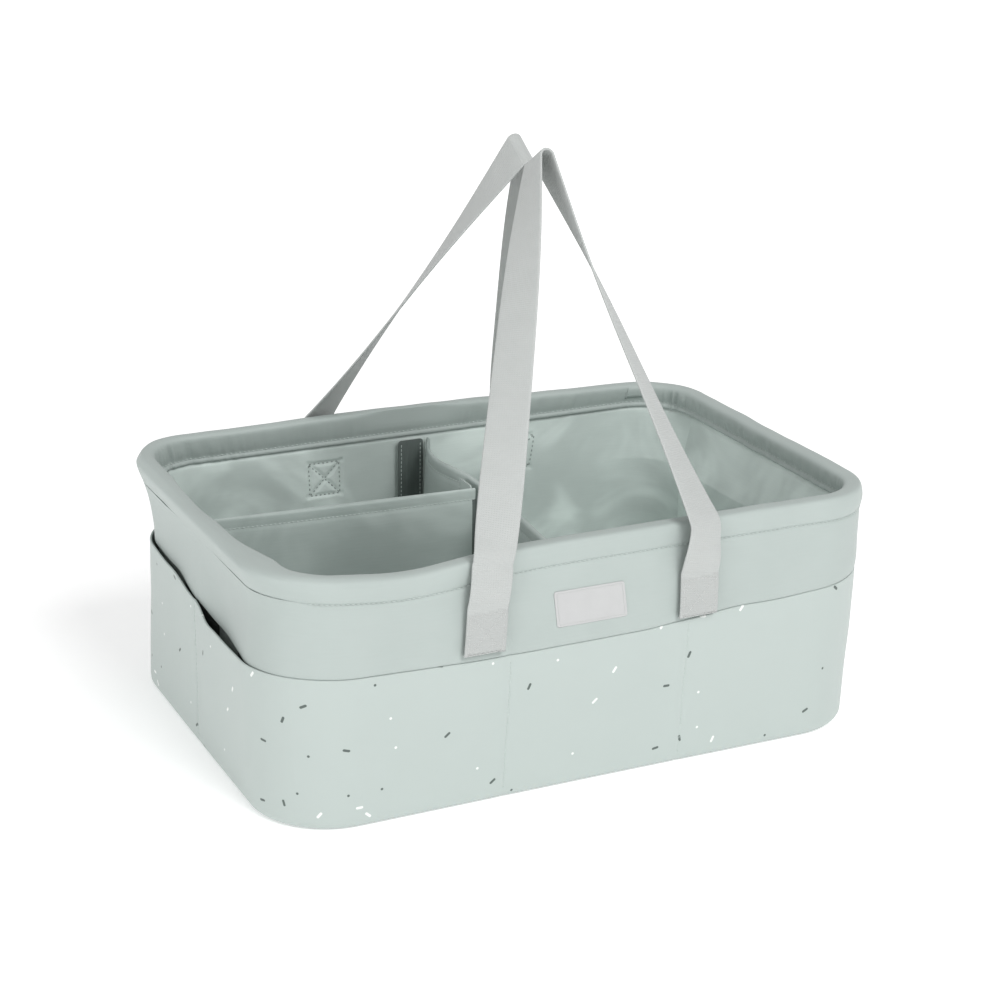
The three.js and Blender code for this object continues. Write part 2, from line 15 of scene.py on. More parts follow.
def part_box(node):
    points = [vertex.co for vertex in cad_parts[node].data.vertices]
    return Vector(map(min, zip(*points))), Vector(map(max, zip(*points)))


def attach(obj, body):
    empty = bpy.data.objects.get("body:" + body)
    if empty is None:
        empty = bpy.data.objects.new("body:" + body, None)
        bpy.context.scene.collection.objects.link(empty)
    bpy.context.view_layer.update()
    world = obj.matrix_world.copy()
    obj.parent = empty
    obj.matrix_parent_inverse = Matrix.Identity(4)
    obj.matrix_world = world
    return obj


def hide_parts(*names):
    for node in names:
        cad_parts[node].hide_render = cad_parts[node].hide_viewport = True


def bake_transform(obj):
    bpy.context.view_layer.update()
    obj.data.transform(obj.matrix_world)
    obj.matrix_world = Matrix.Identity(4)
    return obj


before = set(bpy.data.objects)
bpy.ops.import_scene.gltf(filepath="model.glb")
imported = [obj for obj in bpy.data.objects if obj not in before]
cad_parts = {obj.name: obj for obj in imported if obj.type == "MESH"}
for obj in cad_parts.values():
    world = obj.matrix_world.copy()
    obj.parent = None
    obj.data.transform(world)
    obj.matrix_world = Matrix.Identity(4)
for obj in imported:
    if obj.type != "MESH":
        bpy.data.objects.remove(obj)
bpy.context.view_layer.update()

# %% [markdown]
# ## Camera
# The photograph was taken with a fairly long lens from the front left, a little above the rim.
# The distances come from a fit of the tub's corners, so the camera is set by numbers and not by
# eye. The small shift slides the picture sideways, as a crop does.

# %% Camera
FOCAL_PIXELS = 2226.4
PICTURE_PIXELS = 1000
CAMERA_AT = Vector((-0.5698, -1.1548, 0.5939))
azimuth, elevation, roll = (math.radians(angle) for angle in (-25.59, 20.04, 0.91))

back = Vector((
    math.sin(azimuth) * math.cos(elevation),
    -math.cos(azimuth) * math.cos(elevation),
    math.sin(elevation),
))
level = Vector((math.cos(azimuth), math.sin(azimuth), 0))
rise = back.cross(level)
right = level * math.cos(roll) + rise * math.sin(roll)
up = rise * math.cos(roll) - level * math.sin(roll)

camera = bpy.data.objects.new("camera", bpy.data.cameras.new("camera"))
bpy.context.collection.objects.link(camera)
camera.data.sensor_width = 36
camera.data.lens = 36 * FOCAL_PIXELS / PICTURE_PIXELS
camera.data.shift_x = 0.0292
camera.data.shift_y = 0.0066
camera.matrix_world = Matrix.Translation(CAMERA_AT) @ Matrix((right, up, back)).transposed().to_4x4()
bpy.context.scene.camera = camera
bpy.context.scene.view_settings.view_transform = "Standard"
print("lens", round(camera.data.lens, 2), "mm")

# %% [markdown]
# ## Writing shader maths
# A finish is a sum of small patterns, such as threads, blotches and printed marks. Wiring each
# sum by hand takes many lines, so one small class wraps a socket. Adding or multiplying two of
# them adds the Math node, and one method makes any other node.


# %% A socket that can be used in sums
class Strand:
    """A shader socket that works in sums as a number does."""

    def __init__(self, tree, socket=None):
        self.tree = tree
        self.socket = socket

    def node(self, kind, settings=None, sockets=None, out=0):
        """Any node: its type, its settings, then the values or links of its sockets."""
        made = self.tree.nodes.new(kind)
        for name, value in (settings or {}).items():
            setattr(made, name, value)
        for key, value in (sockets or {}).items():
            if isinstance(value, Strand):
                self.tree.links.new(value.socket, made.inputs[key])
            else:
                made.inputs[key].default_value = value
        return Strand(self.tree, made.outputs[out])

    def out(self, key):
        """Another output of the same node."""
        return Strand(self.tree, self.socket.node.outputs[key])

    def math(self, operation, *terms):
        return self.node("ShaderNodeMath", {"operation": operation}, dict(enumerate(terms)))

    def __add__(self, other):
        return self.math("ADD", self, other)

    def __radd__(self, other):
        return self.math("ADD", other, self)

    def __sub__(self, other):
        return self.math("SUBTRACT", self, other)

    def __rsub__(self, other):
        return self.math("SUBTRACT", other, self)

    def __mul__(self, other):
        return self.math("MULTIPLY", self, other)

    def __rmul__(self, other):
        return self.math("MULTIPLY", other, self)

    def __gt__(self, other):
        return self.math("GREATER_THAN", self, other)

    def __abs__(self):
        return self.math("ABSOLUTE", self)

    def sine(self):
        return self.math("SINE", self)

    def ramp(self, low, high):
        """0 below low, 1 above high, and a soft step between."""
        return self.node(
            "ShaderNodeMapRange", {"interpolation_type": "SMOOTHSTEP"},
            {"Value": self, "From Min": low, "From Max": high},
        )

    def mix(self, first, second):
        """Goes from the first colour to the second as this value goes from 0 to 1."""
        return self.node("ShaderNodeMix", {"data_type": "RGBA"}, {0: self, 6: first, 7: second}, out=2)

    def blotch(self, scale, detail=2.0):
        """Soft noise on this vector, from 0 to 1."""
        return self.node("ShaderNodeTexNoise", {}, {"Vector": self, "Scale": scale, "Detail": detail})


def new_finish(name):
    """A material, its Principled shader and a first strand to draw from."""
    finish = bpy.data.materials.new(name)
    finish.use_nodes = True
    return finish, finish.node_tree.nodes["Principled BSDF"], Strand(finish.node_tree)


def feed(shader, **strands):
    """Links strands to the shader's sockets by name, with _ for each space."""
    for name, strand in strands.items():
        strand.tree.links.new(strand.socket, shader.inputs[name.replace("_", " ")])


print("shader helpers ready")

# %% [markdown]
# ## Satin fabric
# The tub is sewn from one pale sage satin. Up close its threads cross every half millimetre, and
# from a step away it shows only soft blotches and a mild sheen. The lining and the dividers are the
# same satin with larger cloudy patches of painted sheen; the lining is painted lighter, as painted
# light, and the dividers darker, as painted shade. The flaps lie in deep shade, and so does the cloth
# inside the pockets, so both get painted shade: a much darker colour. Each mesh below carries a map
# in real metres, named cloth, so the threads keep their size on every piece.

# %% Satin
MM = 0.001
TURN = 2 * math.pi
SATIN_PITCH = 0.55 * MM


def cloth_map(strand):
    return strand.node("ShaderNodeUVMap", {"uv_map": "cloth"})


def threads(cloth, pitch):
    """A plain weave: rows of threads along and across, from -1 to 1."""
    parts = cloth.node("ShaderNodeSeparateXYZ", {}, {0: cloth})
    warp = (parts * (TURN / pitch)).sine()
    weft = (parts.out(1) * (TURN / pitch)).sine()
    return warp * weft


def raise_threads(strand, height, distance, strength):
    return strand.node(
        "ShaderNodeBump", {}, {"Height": height, "Distance": distance, "Strength": strength},
    )


def satin_sheen(shader):
    """The mild shine that all the satin has."""
    shader.inputs["Specular IOR Level"].default_value = 0.35
    shader.inputs["Sheen Weight"].default_value = 0.12
    shader.inputs["Sheen Roughness"].default_value = 0.4


def satin(name, light, dark, roughness=0.5, painted_sheen_share=0.0):
    finish, shader, strand = new_finish(name)
    cloth = cloth_map(strand)
    weave = threads(cloth, SATIN_PITCH)
    cloud = cloth.blotch(26, 3)
    # Painted sheen: cloudy light and dark patches in the colour stand in for the satin's shine on its soft
    # dents.
    sheen = cloth.node(
        "ShaderNodeTexNoise", {}, {"Vector": cloth, "Scale": 13, "Detail": 3, "Distortion": 0.9},
    ).ramp(0.4, 0.62)
    slub = cloth.node(
        "ShaderNodeMapping", {}, {"Vector": cloth, "Scale": (60, 900, 1)},
    ).blotch(1, 2)
    tone = (cloud * 0.7 + slub * 0.3).ramp(0.25, 0.75)
    shade = tone * (1 - painted_sheen_share) + sheen * painted_sheen_share + weave * 0.12
    feed(
        shader,
        Base_Color=shade.mix((*dark, 1), (*light, 1)),
        Roughness=roughness + (cloud - 0.5) * 0.16,
        Normal=raise_threads(strand, weave + slub * 0.6, 0.06 * MM, 0.35),
    )
    satin_sheen(shader)
    return finish


sage = satin("sage_satin", (0.425, 0.478, 0.459), (0.405, 0.458, 0.439))
# Painted light: the lining's satin is painted lighter than the outside's, with patches of painted sheen.
lining_painted_light = satin("lining_satin_painted_light", (0.75, 0.835, 0.80), (0.50, 0.565, 0.54), 0.4, painted_sheen_share=0.8)
# Painted shade: the dividers' satin is darker than the lining's, with the same patches of painted sheen.
divider_painted_shade = satin("divider_satin_painted_shade", (0.53, 0.60, 0.573), (0.35, 0.405, 0.385), 0.44, painted_sheen_share=0.7)
# Painted shade: the flaps' satin is painted nearly black for the shade in their nook.
flap_painted_shade = satin("flap_satin_painted_shade", (0.14, 0.166, 0.157), (0.085, 0.103, 0.096), 0.5)
# Painted shade: the cloth inside the pockets is painted nearly black.
pocket_shade = satin("pocket_inside_painted_shade", (0.055, 0.065, 0.06), (0.04, 0.05, 0.045), 0.7)
print("made", [finish.name for finish in (sage, lining_painted_light, divider_painted_shade, flap_painted_shade, pocket_shade)])

# %% [markdown]
# ## Printed pocket fabric
# The pockets are a shade lighter, with small dark and white marks scattered over them. A Voronoi
# pattern gives one random point to each patch of cloth, and its random colour decides whether a
# mark is printed there, which way it lies and how dark it is. The marks are plain short dashes
# and dots.

# %% Printed satin
PRINT_PATCH = 21 * MM
MARK_HALF = 1.4 * MM
MARK_THICK = 0.8 * MM


def printed_satin(name, light, dark):
    finish, shader, strand = new_finish(name)
    cloth = cloth_map(strand)
    weave = threads(cloth, SATIN_PITCH)
    cloud = cloth.blotch(22, 3)
    ground = (cloud + weave * 0.12).mix((*dark, 1), (*light, 1))
    patch = cloth.node(
        "ShaderNodeTexVoronoi", {"voronoi_dimensions": "2D"},
        {"Vector": cloth, "Scale": 1 / PRINT_PATCH, "Randomness": 0.85}, out="Position",
    )
    luck = cloth.node("ShaderNodeSeparateColor", {}, {0: patch.out("Color")})
    away = cloth.node("ShaderNodeVectorMath", {"operation": "SUBTRACT"}, {0: cloth, 1: patch})
    spun = cloth.node(
        "ShaderNodeVectorRotate", {"rotation_type": "Z_AXIS"},
        {"Vector": away, "Angle": luck * TURN},
    )
    parts = cloth.node("ShaderNodeSeparateXYZ", {}, {0: spun})
    reach = MARK_HALF * (luck.out(1) > 0.45)
    past = (abs(parts) - reach).math("MAXIMUM", abs(parts) - reach, 0)
    side = parts.out(1)
    edge = (past * past + side * side).math("SQRT", past * past + side * side)
    mark = 1 - edge.ramp(MARK_THICK * 0.8, MARK_THICK * 1.2)
    printed = mark * (luck.out(2) > 0.64)
    ink = (luck.out(2) > 0.82).mix((0.10, 0.125, 0.115, 1), (0.8, 0.82, 0.8, 1))
    feed(
        shader,
        Base_Color=printed.mix(ground, ink),
        Roughness=0.5 + (cloud - 0.5) * 0.16,
        Normal=raise_threads(strand, weave, 0.06 * MM, 0.3),
    )
    satin_sheen(shader)
    return finish


mint = printed_satin("printed_satin", (0.462, 0.518, 0.497), (0.442, 0.498, 0.477))
print("made", mint.name)

# %% [markdown]
# ## Webbing, label, thread and the hidden finishes
# Handle webbing is woven in ribs that run across it. Where an end is sewn down it is pressed flat
# and looks a little darker, so it has a second finish. The label is a fine off-white weave. Thread,
# tape and board each get a small pattern of their own as well, because they show when a flap is
# peeled or a divider comes out.

# %% Webbing
def ribbed_webbing(name, light, dark):
    finish, shader, strand = new_finish(name)
    cloth = cloth_map(strand)
    parts = cloth.node("ShaderNodeSeparateXYZ", {}, {0: cloth})
    rib = (parts * (TURN / (1.3 * MM))).sine()
    yarn = (parts.out(1) * (TURN / (0.9 * MM)) + rib * 0.6).sine()
    height = rib * 0.7 + yarn * 0.5
    cloud = cloth.blotch(90, 3)
    feed(
        shader,
        Base_Color=(cloud * 0.75 + height * 0.16 + 0.1).mix((*dark, 1), (*light, 1)),
        Roughness=0.66 + (cloud - 0.5) * 0.2,
        Normal=raise_threads(strand, height, 0.12 * MM, 0.5),
    )
    shader.inputs["Specular IOR Level"].default_value = 0.25
    shader.inputs["Sheen Weight"].default_value = 0.2
    return finish


webbing = ribbed_webbing("grey_webbing", (0.487, 0.505, 0.496), (0.428, 0.446, 0.437))
pressed_webbing = ribbed_webbing("pressed_webbing", (0.455, 0.471, 0.463), (0.40, 0.416, 0.408))
print("made", webbing.name, pressed_webbing.name)


# %% Small finishes
def plain_weave(name, light, dark, pitch, roughness, depth=0.08 * MM):
    finish, shader, strand = new_finish(name)
    cloth = cloth_map(strand)
    weave = threads(cloth, pitch)
    cloud = cloth.blotch(120, 3)
    feed(
        shader,
        Base_Color=(cloud + weave * 0.2).mix((*dark, 1), (*light, 1)),
        Roughness=roughness + (cloud - 0.5) * 0.15,
        Normal=raise_threads(strand, weave, depth, 0.4),
    )
    shader.inputs["Specular IOR Level"].default_value = 0.25
    return finish


def grainy(name, light, dark, scale, roughness):
    """For what carries no cloth map, such as thread, board and paper."""
    finish, shader, strand = new_finish(name)
    place = strand.node("ShaderNodeTexCoord", {}, {}, "Object")
    grain = place.blotch(scale, 4)
    feed(
        shader,
        Base_Color=grain.ramp(0.3, 0.7).mix((*dark, 1), (*light, 1)),
        Roughness=roughness + (grain - 0.5) * 0.2,
        Normal=raise_threads(strand, grain, 0.1 * MM, 0.3),
    )
    return finish


label_weave = plain_weave("label_weave", (0.535, 0.54, 0.54), (0.50, 0.505, 0.505), 0.35 * MM, 0.6)
tape_weave = plain_weave("tape_weave", (0.50, 0.56, 0.53), (0.42, 0.48, 0.45), 0.8 * MM, 0.8, 0.2 * MM)
thread_pale = grainy("thread_pale", (0.52, 0.58, 0.555), (0.44, 0.50, 0.475), 2600, 0.6)
thread_grey = grainy("thread_grey", (0.54, 0.55, 0.54), (0.48, 0.49, 0.48), 2600, 0.6)
thread_dark = grainy("thread_dark", (0.32, 0.37, 0.35), (0.25, 0.29, 0.275), 2600, 0.65)
board = grainy("board_grey", (0.42, 0.42, 0.40), (0.36, 0.36, 0.34), 500, 0.7)
print("made", [f.name for f in (label_weave, tape_weave, thread_pale, thread_grey, thread_dark, board)])

# %% [markdown]
# ## The tub's outline
# Seen from above the tub is a rounded rectangle, and its two ends lean out towards the rim, the right
# one from lower down. Every wall piece is a band along that outline, so one function gives the point
# at a distance along it, a distance out from the outer fabric, and a height. The front rim isn't level:
# it hangs a little between the left corner and the handle.

# %% The outline
HALF_LENGTH = 188.5 * MM
HALF_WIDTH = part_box("outer_wall")[1].y
CORNER = 42 * MM
FLARE = 11.6 * MM
FLARE_FROM = 98 * MM
LEFT_FLARE_POWER = 2
RIGHT_FLARE_POWER = 0.8
FOOT_ROUND = 5 * MM
RIM_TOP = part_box("rim_hem")[1].z
HEM_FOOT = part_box("rim_hem")[0].z

LONG_RUN = 2 * (HALF_LENGTH - CORNER)
SHORT_RUN = 2 * (HALF_WIDTH - CORNER)
BEND_RUN = CORNER * math.pi / 2
ROUND = 2 * (LONG_RUN + SHORT_RUN) + 4 * BEND_RUN
BACK_FROM = BEND_RUN
LEFT_FROM = BACK_FROM + LONG_RUN + BEND_RUN
FRONT_FROM = LEFT_FROM + SHORT_RUN + BEND_RUN
RIGHT_FROM = FRONT_FROM + LONG_RUN + BEND_RUN
print("outline", round(ROUND, 3), "m round")


# %% Points on the outline
RIM_HANG = 6.3 * MM
HANG_X = -108 * MM
HANG_WIDTH = 46 * MM


def place_at(along):
    """Where the outline is, between the corner centres, and the way it faces there."""
    along %= ROUND
    for quarter, run in enumerate((LONG_RUN, SHORT_RUN, LONG_RUN, SHORT_RUN)):
        corner_x = 1 if quarter in (0, 3) else -1
        corner_y = 1 if quarter < 2 else -1
        if along < BEND_RUN:
            return corner_x, corner_y, (quarter + along / BEND_RUN) * math.pi / 2
        along -= BEND_RUN
        if along < run:
            share = 1 - 2 * along / run
            facing = (quarter + 1) * math.pi / 2
            return ((share, 1), (-1, share), (-share, -1), (1, -share))[quarter] + (facing,)
        along -= run
    return 1, 1, 0.0


def droop(along):
    """The soft front rim hangs a little between the left corner and the handle."""
    return -RIM_HANG * math.exp(-((along - front_along(HANG_X)) / HANG_WIDTH) ** 2)


def wall_point(along, out, z):
    along %= ROUND
    x, y, facing = place_at(along)
    power = RIGHT_FLARE_POWER if x > 0 else LEFT_FLARE_POWER
    lean = FLARE * (max(0, z - FLARE_FROM) / (RIM_TOP - FLARE_FROM)) ** power
    below = min(FOOT_ROUND, max(0, FOOT_ROUND - z))
    radius = CORNER - FOOT_ROUND + math.sqrt(FOOT_ROUND ** 2 - below ** 2) + out
    return Vector((
        x * (HALF_LENGTH + lean - CORNER) + radius * math.cos(facing),
        y * (HALF_WIDTH - CORNER) + radius * math.sin(facing),
        z + droop(along) * step_between(z, 100 * MM, HEM_FOOT),
    ))


def facing_at(along):
    facing = place_at(along)[2]
    return Vector((math.cos(facing), math.sin(facing), 0))


def front_along(x):
    return FRONT_FROM + x + HALF_LENGTH - CORNER


def back_along(x):
    return BACK_FROM + HALF_LENGTH - CORNER - x


along_of = {"front": front_along, "back": back_along}


def span(first, last, steps):
    return [first + (last - first) * i / steps for i in range(steps + 1)]


def step_between(value, low, high):
    """0 at low and 1 at high, with a soft step between. Low may be the larger of the two."""
    share = min(1, max(0, (value - low) / (high - low)))
    return share * share * (3 - 2 * share)


print("front middle at the rim", tuple(round(x, 3) for x in wall_point(front_along(0), 0, RIM_TOP)))

# %% [markdown]
# ## From sections to a mesh
# A band of cloth is a section that travels: a few points make the section, and the next section
# joins it with quads. The mesh is closed, so each piece has a real thickness. The map named cloth
# is measured along both ways in metres while the quads are made.

# %% Lofting
def distances(points):
    total = [0.0]
    for before, after in zip(points, points[1:]):
        total.append(total[-1] + (after - before).length)
    return total


def loft(name, sections, finish, ring=False):
    """Joins sections of points into one closed mesh. A ring's last section joins its first."""
    count, size = len(sections), len(sections[0])
    middles = [sum(section, Vector()) / size for section in sections]
    along = distances(middles + middles[:1])
    around = distances(sections[0] + sections[0][:1])
    faces, cloth = [], []
    for i in range(count if ring else count - 1):
        here, there = i * size, (i + 1) % count * size
        for j in range(size):
            k = (j + 1) % size
            faces.append((here + j, there + j, there + k, here + k))
            cloth += [
                (along[i], around[j]), (along[i + 1], around[j]),
                (along[i + 1], around[j + 1]), (along[i], around[j + 1]),
            ]
    if not ring:
        for start in (0, (count - 1) * size):
            faces.append(tuple(range(start, start + size)))
            cloth += [(0, around[j]) for j in range(size)]
    caps = 0 if ring else 2
    return sewn(name, [p for section in sections for p in section], faces, finish, cloth, caps)


def sewn(name, points, faces, finish, cloth=None, caps=0):
    """One object from points and faces, smooth but for its last caps, with its cloth map."""
    mesh = bpy.data.meshes.new(name)
    mesh.from_pydata(points, [], faces)
    if cloth:
        layer = mesh.uv_layers.new(name="cloth")
        layer.data.foreach_set("uv", [x for pair in cloth for x in pair])
    shape = bmesh.new()
    shape.from_mesh(mesh)
    bmesh.ops.recalc_face_normals(shape, faces=shape.faces)
    shape.faces.ensure_lookup_table()
    for i, face in enumerate(shape.faces):
        face.smooth = i < len(faces) - caps
        if not face.smooth:
            for edge in face.edges:
                edge.smooth = False
    shape.to_mesh(mesh)
    shape.free()
    mesh.materials.append(finish)
    made = bpy.data.objects.new(name, mesh)
    bpy.context.collection.objects.link(made)
    return made


def second_finish(made, finish, chosen):
    """Gives a piece another finish on the polygons that chosen picks."""
    made.data.materials.append(finish)
    for polygon in made.data.polygons:
        if chosen(polygon):
            polygon.material_index = 1


print("mesh helpers ready")


# %% Soft lines
def way_at(line, i):
    """The way a line runs at one of its points."""
    return (line[min(len(line) - 1, i + 1)] - line[max(0, i - 1)]).normalized()


def ruffle(point, size, seed=0.0):
    """Soft noise from about -1 to 1, with folds about size apart."""
    return noise.noise(point / size + Vector((seed, seed * 0.7, -seed)))


def rounded(points, steps, ring=False):
    """A smooth line through points, with steps between each two."""
    count = len(points)
    line = []
    for i in range(count if ring else count - 1):
        if ring:
            p = [points[(i + k) % count] for k in (-1, 0, 1, 2)]
        else:
            p = [points[min(count - 1, max(0, i + k))] for k in (-1, 0, 1, 2)]
        for step in range(steps):
            t = step / steps
            line.append(0.5 * (
                2 * p[1] + (p[2] - p[0]) * t + (2 * p[0] - 5 * p[1] + 4 * p[2] - p[3]) * t ** 2
                + (3 * p[1] - p[0] - 3 * p[2] + p[3]) * t ** 3
            ))
    return line if ring else line + [points[-1]]


print("line helpers ready")

# %% [markdown]
# ## Stitches
# Each stitch is a short bead of thread that dips into the cloth at both ends. Modelling them as
# small beads makes them catch the light like the real ones, at any distance, and a whole seam is
# one mesh.

# %% Stitching
# Along a bead: how far, how thick and how high, as shares of its length and thickness.
BEAD = ((0, 0.35, -0.5), (0.16, 0.85, 0.1), (0.5, 1, 0.35), (0.84, 0.85, 0.1), (1, 0.35, -0.5))
BEAD_SIDES = 5


def stitches(name, runs, finish, body, pitch=3.0 * MM, thick=0.42 * MM, cover=0.72):
    """Beads of thread along runs of (point, outward direction)."""
    points, faces = [], []
    for run in runs:
        reach = distances([point for point, _ in run])
        count = max(1, round(reach[-1] / pitch))
        for i in range(count):
            ends = []
            for share in (i + 0.5 - cover / 2, i + 0.5 + cover / 2):
                want = share / count * reach[-1]
                j = max(k for k in range(len(run) - 1) if reach[k] <= want + 1e-9)
                t = (want - reach[j]) / max(1e-9, reach[j + 1] - reach[j])
                ends.append((run[j][0].lerp(run[j + 1][0], t), run[j][1]))
            (first, out), (last, _) = ends
            ahead = (last - first).normalized()
            side = ahead.cross(out).normalized()
            base = len(points)
            for share, size, lift in BEAD:
                middle = first.lerp(last, share) + out * (lift * thick)
                for k in range(BEAD_SIDES):
                    angle = TURN * k / BEAD_SIDES
                    spoke = side * math.cos(angle) + out * math.sin(angle)
                    points.append(middle + spoke * (size * thick))
            for ring in range(base, len(points) - BEAD_SIDES, BEAD_SIDES):
                for k in range(BEAD_SIDES):
                    a, b = ring + k, ring + (k + 1) % BEAD_SIDES
                    faces.append((a, b, b + BEAD_SIDES, a + BEAD_SIDES))
            faces.append(tuple(range(base, base + BEAD_SIDES)))
            faces.append(tuple(range(len(points) - BEAD_SIDES, len(points))))
    made = sewn(name, points, faces, finish)
    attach(made, body)
    return made


print("stitching ready")

# %% [markdown]
# ## How the soft wall stands
# Below the pockets' mouths the padded wall stands out a little from the stiff outline, and the
# pocket band stands out further. At the front the collar slopes out to meet the band, so the mouths
# look closed. At the left end the collar is pulled in and dark slits show behind the band. Round the
# right end the cloth has a hip just under the rim, and along the back the rim's crown is higher. A few
# values chosen round the tub, joined by a smooth curve, hold all this.

# %% Seams and gapes
SEAM_SPACING = 115 * MM
POCKET_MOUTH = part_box("pocket_front")[1].z
POCKET_CLOTH = 1.3 * MM
LAYER_GAP = 0.3 * MM
corners = [start - BEND_RUN / 2 for start in (BACK_FROM, LEFT_FROM, FRONT_FROM, RIGHT_FROM)]
back_right, back_left, front_left, front_right = corners
left_seam = LEFT_FROM + SHORT_RUN / 2
right_seam = RIGHT_FROM + SHORT_RUN / 2
side_seams = [back_along(SEAM_SPACING / 2), back_along(-SEAM_SPACING / 2), left_seam]
side_seams += [front_along(-SEAM_SPACING / 2), front_along(SEAM_SPACING / 2), right_seam]
left_back_mouth = LEFT_FROM + 0.22 * SHORT_RUN
left_front_mouth = LEFT_FROM + 0.68 * SHORT_RUN
print(len(side_seams), "upright seams")


# %% Curves round the tub
def profile(**stops):
    """A smooth curve round the tub through named places, each with its value in millimetres."""
    places = {
        "back_right": back_right, "back": back_along(0), "back_left": back_left,
        "left_back_mouth": left_back_mouth, "left_seam": left_seam,
        "left_front_mouth": left_front_mouth, "front_left": front_left,
        "front_near_left": front_along(-60 * MM), "front": front_along(15 * MM),
        "front_near_right": front_along(100 * MM), "front_right": front_right, "right": right_seam,
    }
    knots = sorted((places[name], value * MM) for name, value in stops.items())

    def value_at(along):
        along %= ROUND
        after = next((i for i, knot in enumerate(knots) if knot[0] > along), 0)
        (first, low), (last, high) = knots[after - 1], knots[after]
        share = (along - first) % ROUND / ((last - first) % ROUND)
        return low + (high - low) * step_between(share, 0, 1)

    return value_at


# In millimetres: the wall's own swell, then how much further the band stands out at its mouth.
swell = profile(
    front=3.7, front_right=4.4, right=3.8, back_right=4, back=3.7,
    back_left=4.6, left_seam=4.8, front_left=4.4,
)
gape = profile(
    front_left=4.6, front_near_left=6.2, front=6, front_near_right=4, front_right=2.6, right=1.4,
    back_right=3, back=6, back_left=-3.6, left_back_mouth=-0.6, left_seam=0.4, left_front_mouth=2.6,
)
# The slit between collar and band at the mouth, and the mouth's height.
slit = profile(
    front_left=0.35, front=0.2, front_right=0.2, right=0.2, back_right=0.4, back=0.5, back_left=2.6,
    left_back_mouth=4, left_seam=2.3, left_front_mouth=7,
)
mouth_height = profile(
    front_left=93.5, front_near_left=91.6, front=92, front_near_right=96, front_right=98, right=97,
    back_right=95, back=93, back_left=98, left_back_mouth=97.5, left_seam=94.5, left_front_mouth=90,
)
# The collar's belly and its hip under the rim, and how much the rim's crown rises.
belly = profile(
    front=0.8, front_right=0.8, right=0.6, back_right=0.8, back=0.8,
    back_left=0, left_seam=0, front_left=0.4,
)
hip = profile(
    front=0, front_near_right=0, front_right=1.2, right=1.4, back_right=0.6, back=0, left_seam=0,
)
crown_lift = profile(
    back_right=0.5, back=4.2, back_left=4, left_back_mouth=3, left_seam=1.5, left_front_mouth=2,
    front_left=1.2, front_near_left=0, front=0, front_right=0, right=0,
)
print("swell at the left seam", round(swell(left_seam) / MM, 2), "mm")


# %% How far the band stands out
def mouth_at(along):
    """The height of the pockets' mouths, with a slight wave."""
    return mouth_height(along) + 0.5 * MM * ruffle(Vector((along, 0, 0)), 33 * MM, 7.1)


def stand_off(along, z):
    """How far the pocket's inner face stands from the outline of the tub."""
    climb = min(1, max(0, z / mouth_at(along)))
    return swell(along) + LAYER_GAP + gape(along) * math.sin(climb ** 1.5 * math.pi / 2)


def seam_distance(along):
    return min(abs((along - seam + ROUND / 2) % ROUND - ROUND / 2) for seam in side_seams)


def pocket_face(along, z):
    """The outer face of a pocket's cloth, out from the outline of the tub."""
    point = wall_point(along, 0, z)
    seam_away = seam_distance(along)
    climb = step_between(z, 0, 30 * MM)
    soft = 0.8 * MM * ruffle(point, 66 * MM, 5.2) + 0.3 * MM * ruffle(point, 25 * MM, 1.9)
    pinch = math.exp(-(seam_away / (1.8 * MM)) ** 2)
    tug = 0.25 * MM * math.exp(-seam_away / (9 * MM))
    tug *= ruffle(Vector((point.x * 0.3, point.y * 0.3, z)), 7 * MM, 3.3)
    return stand_off(along, z) + POCKET_CLOTH + (soft + tug) * climb - 0.45 * MM * pinch


print("band at the front middle", round(pocket_face(front_along(0), 0.05) / MM, 2), "mm out")

# %% [markdown]
# ## The outer wall and its collar
# Above the pockets the plain collar runs all round the tub. Its fabric is drawn in along the hem's
# stitch line, and has slow, shallow waves where the padding behind it is uneven. The waves die out
# under the label and the handles' sewn ends, which lie flat. No stitch line shows along the left end.
# Where the cloth goes on down behind the pockets it is painted nearly black, as painted shade,
# because little light gets in there.

# %% Outer wall
HEM_SEAM = HEM_FOOT + 2.4 * MM


def middle_x(node):
    low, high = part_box(node)
    return (low.x + high.x) / 2


HANDLE_ENDS = [(word, hand) for word in ("front", "back") for hand in ("left", "right")]
sewn_x = {(word, hand): middle_x(f"handle_end_{word}_{hand}") for word, hand in HANDLE_ENDS}
LABEL_X = middle_x("label_patch")


def calm_under(along):
    """1 on free cloth, and little where something is sewn on."""
    _, y, facing = place_at(along)
    if abs(math.sin(facing)) < 0.99:
        return 1.0
    here = wall_point(along, 0, 0.1).x
    word = "front" if y < 0 else "back"
    near = min(abs(here - sewn_x[word, hand]) - 13 * MM for hand in ("left", "right"))
    if word == "front":
        near = min(near, abs(here - LABEL_X) - 24 * MM)
    return 0.1 + 0.9 * step_between(near, 0, 22 * MM)


def collar_slope(along, z):
    """The collar's own slope, out from the hem to the pockets' outer edge, where it tucks in."""
    mouth = mouth_at(along)
    reach = step_between(z, HEM_SEAM + 3 * MM, mouth - 6 * MM)
    down = min(1, max(0, (HEM_SEAM - z) / (HEM_SEAM - mouth)))
    bulge = belly(along) * math.sin(math.pi * down ** 0.7) + hip(along) * (1 - step_between(down, 0, 0.7))
    spare = max(0, POCKET_CLOTH + 0.4 * MM - slit(along))
    tuck = spare * step_between(z, mouth + 0.5 * MM, mouth - 1.2 * MM)
    sink = (1.5 * MM + 0.5 * slit(along)) * step_between(z, mouth - 0.5 * MM, mouth - 5 * MM)
    return reach * (pocket_face(along, min(z, mouth)) - slit(along)) + bulge - tuck - sink


def plain_left(along):
    """1 along the left end, where no stitch line shows under the rim, and 0 elsewhere."""
    along %= ROUND
    start = step_between(along, LEFT_FROM - 66 * MM, LEFT_FROM - 36 * MM)
    return start * step_between(along, FRONT_FROM - 8 * MM, FRONT_FROM - 34 * MM)


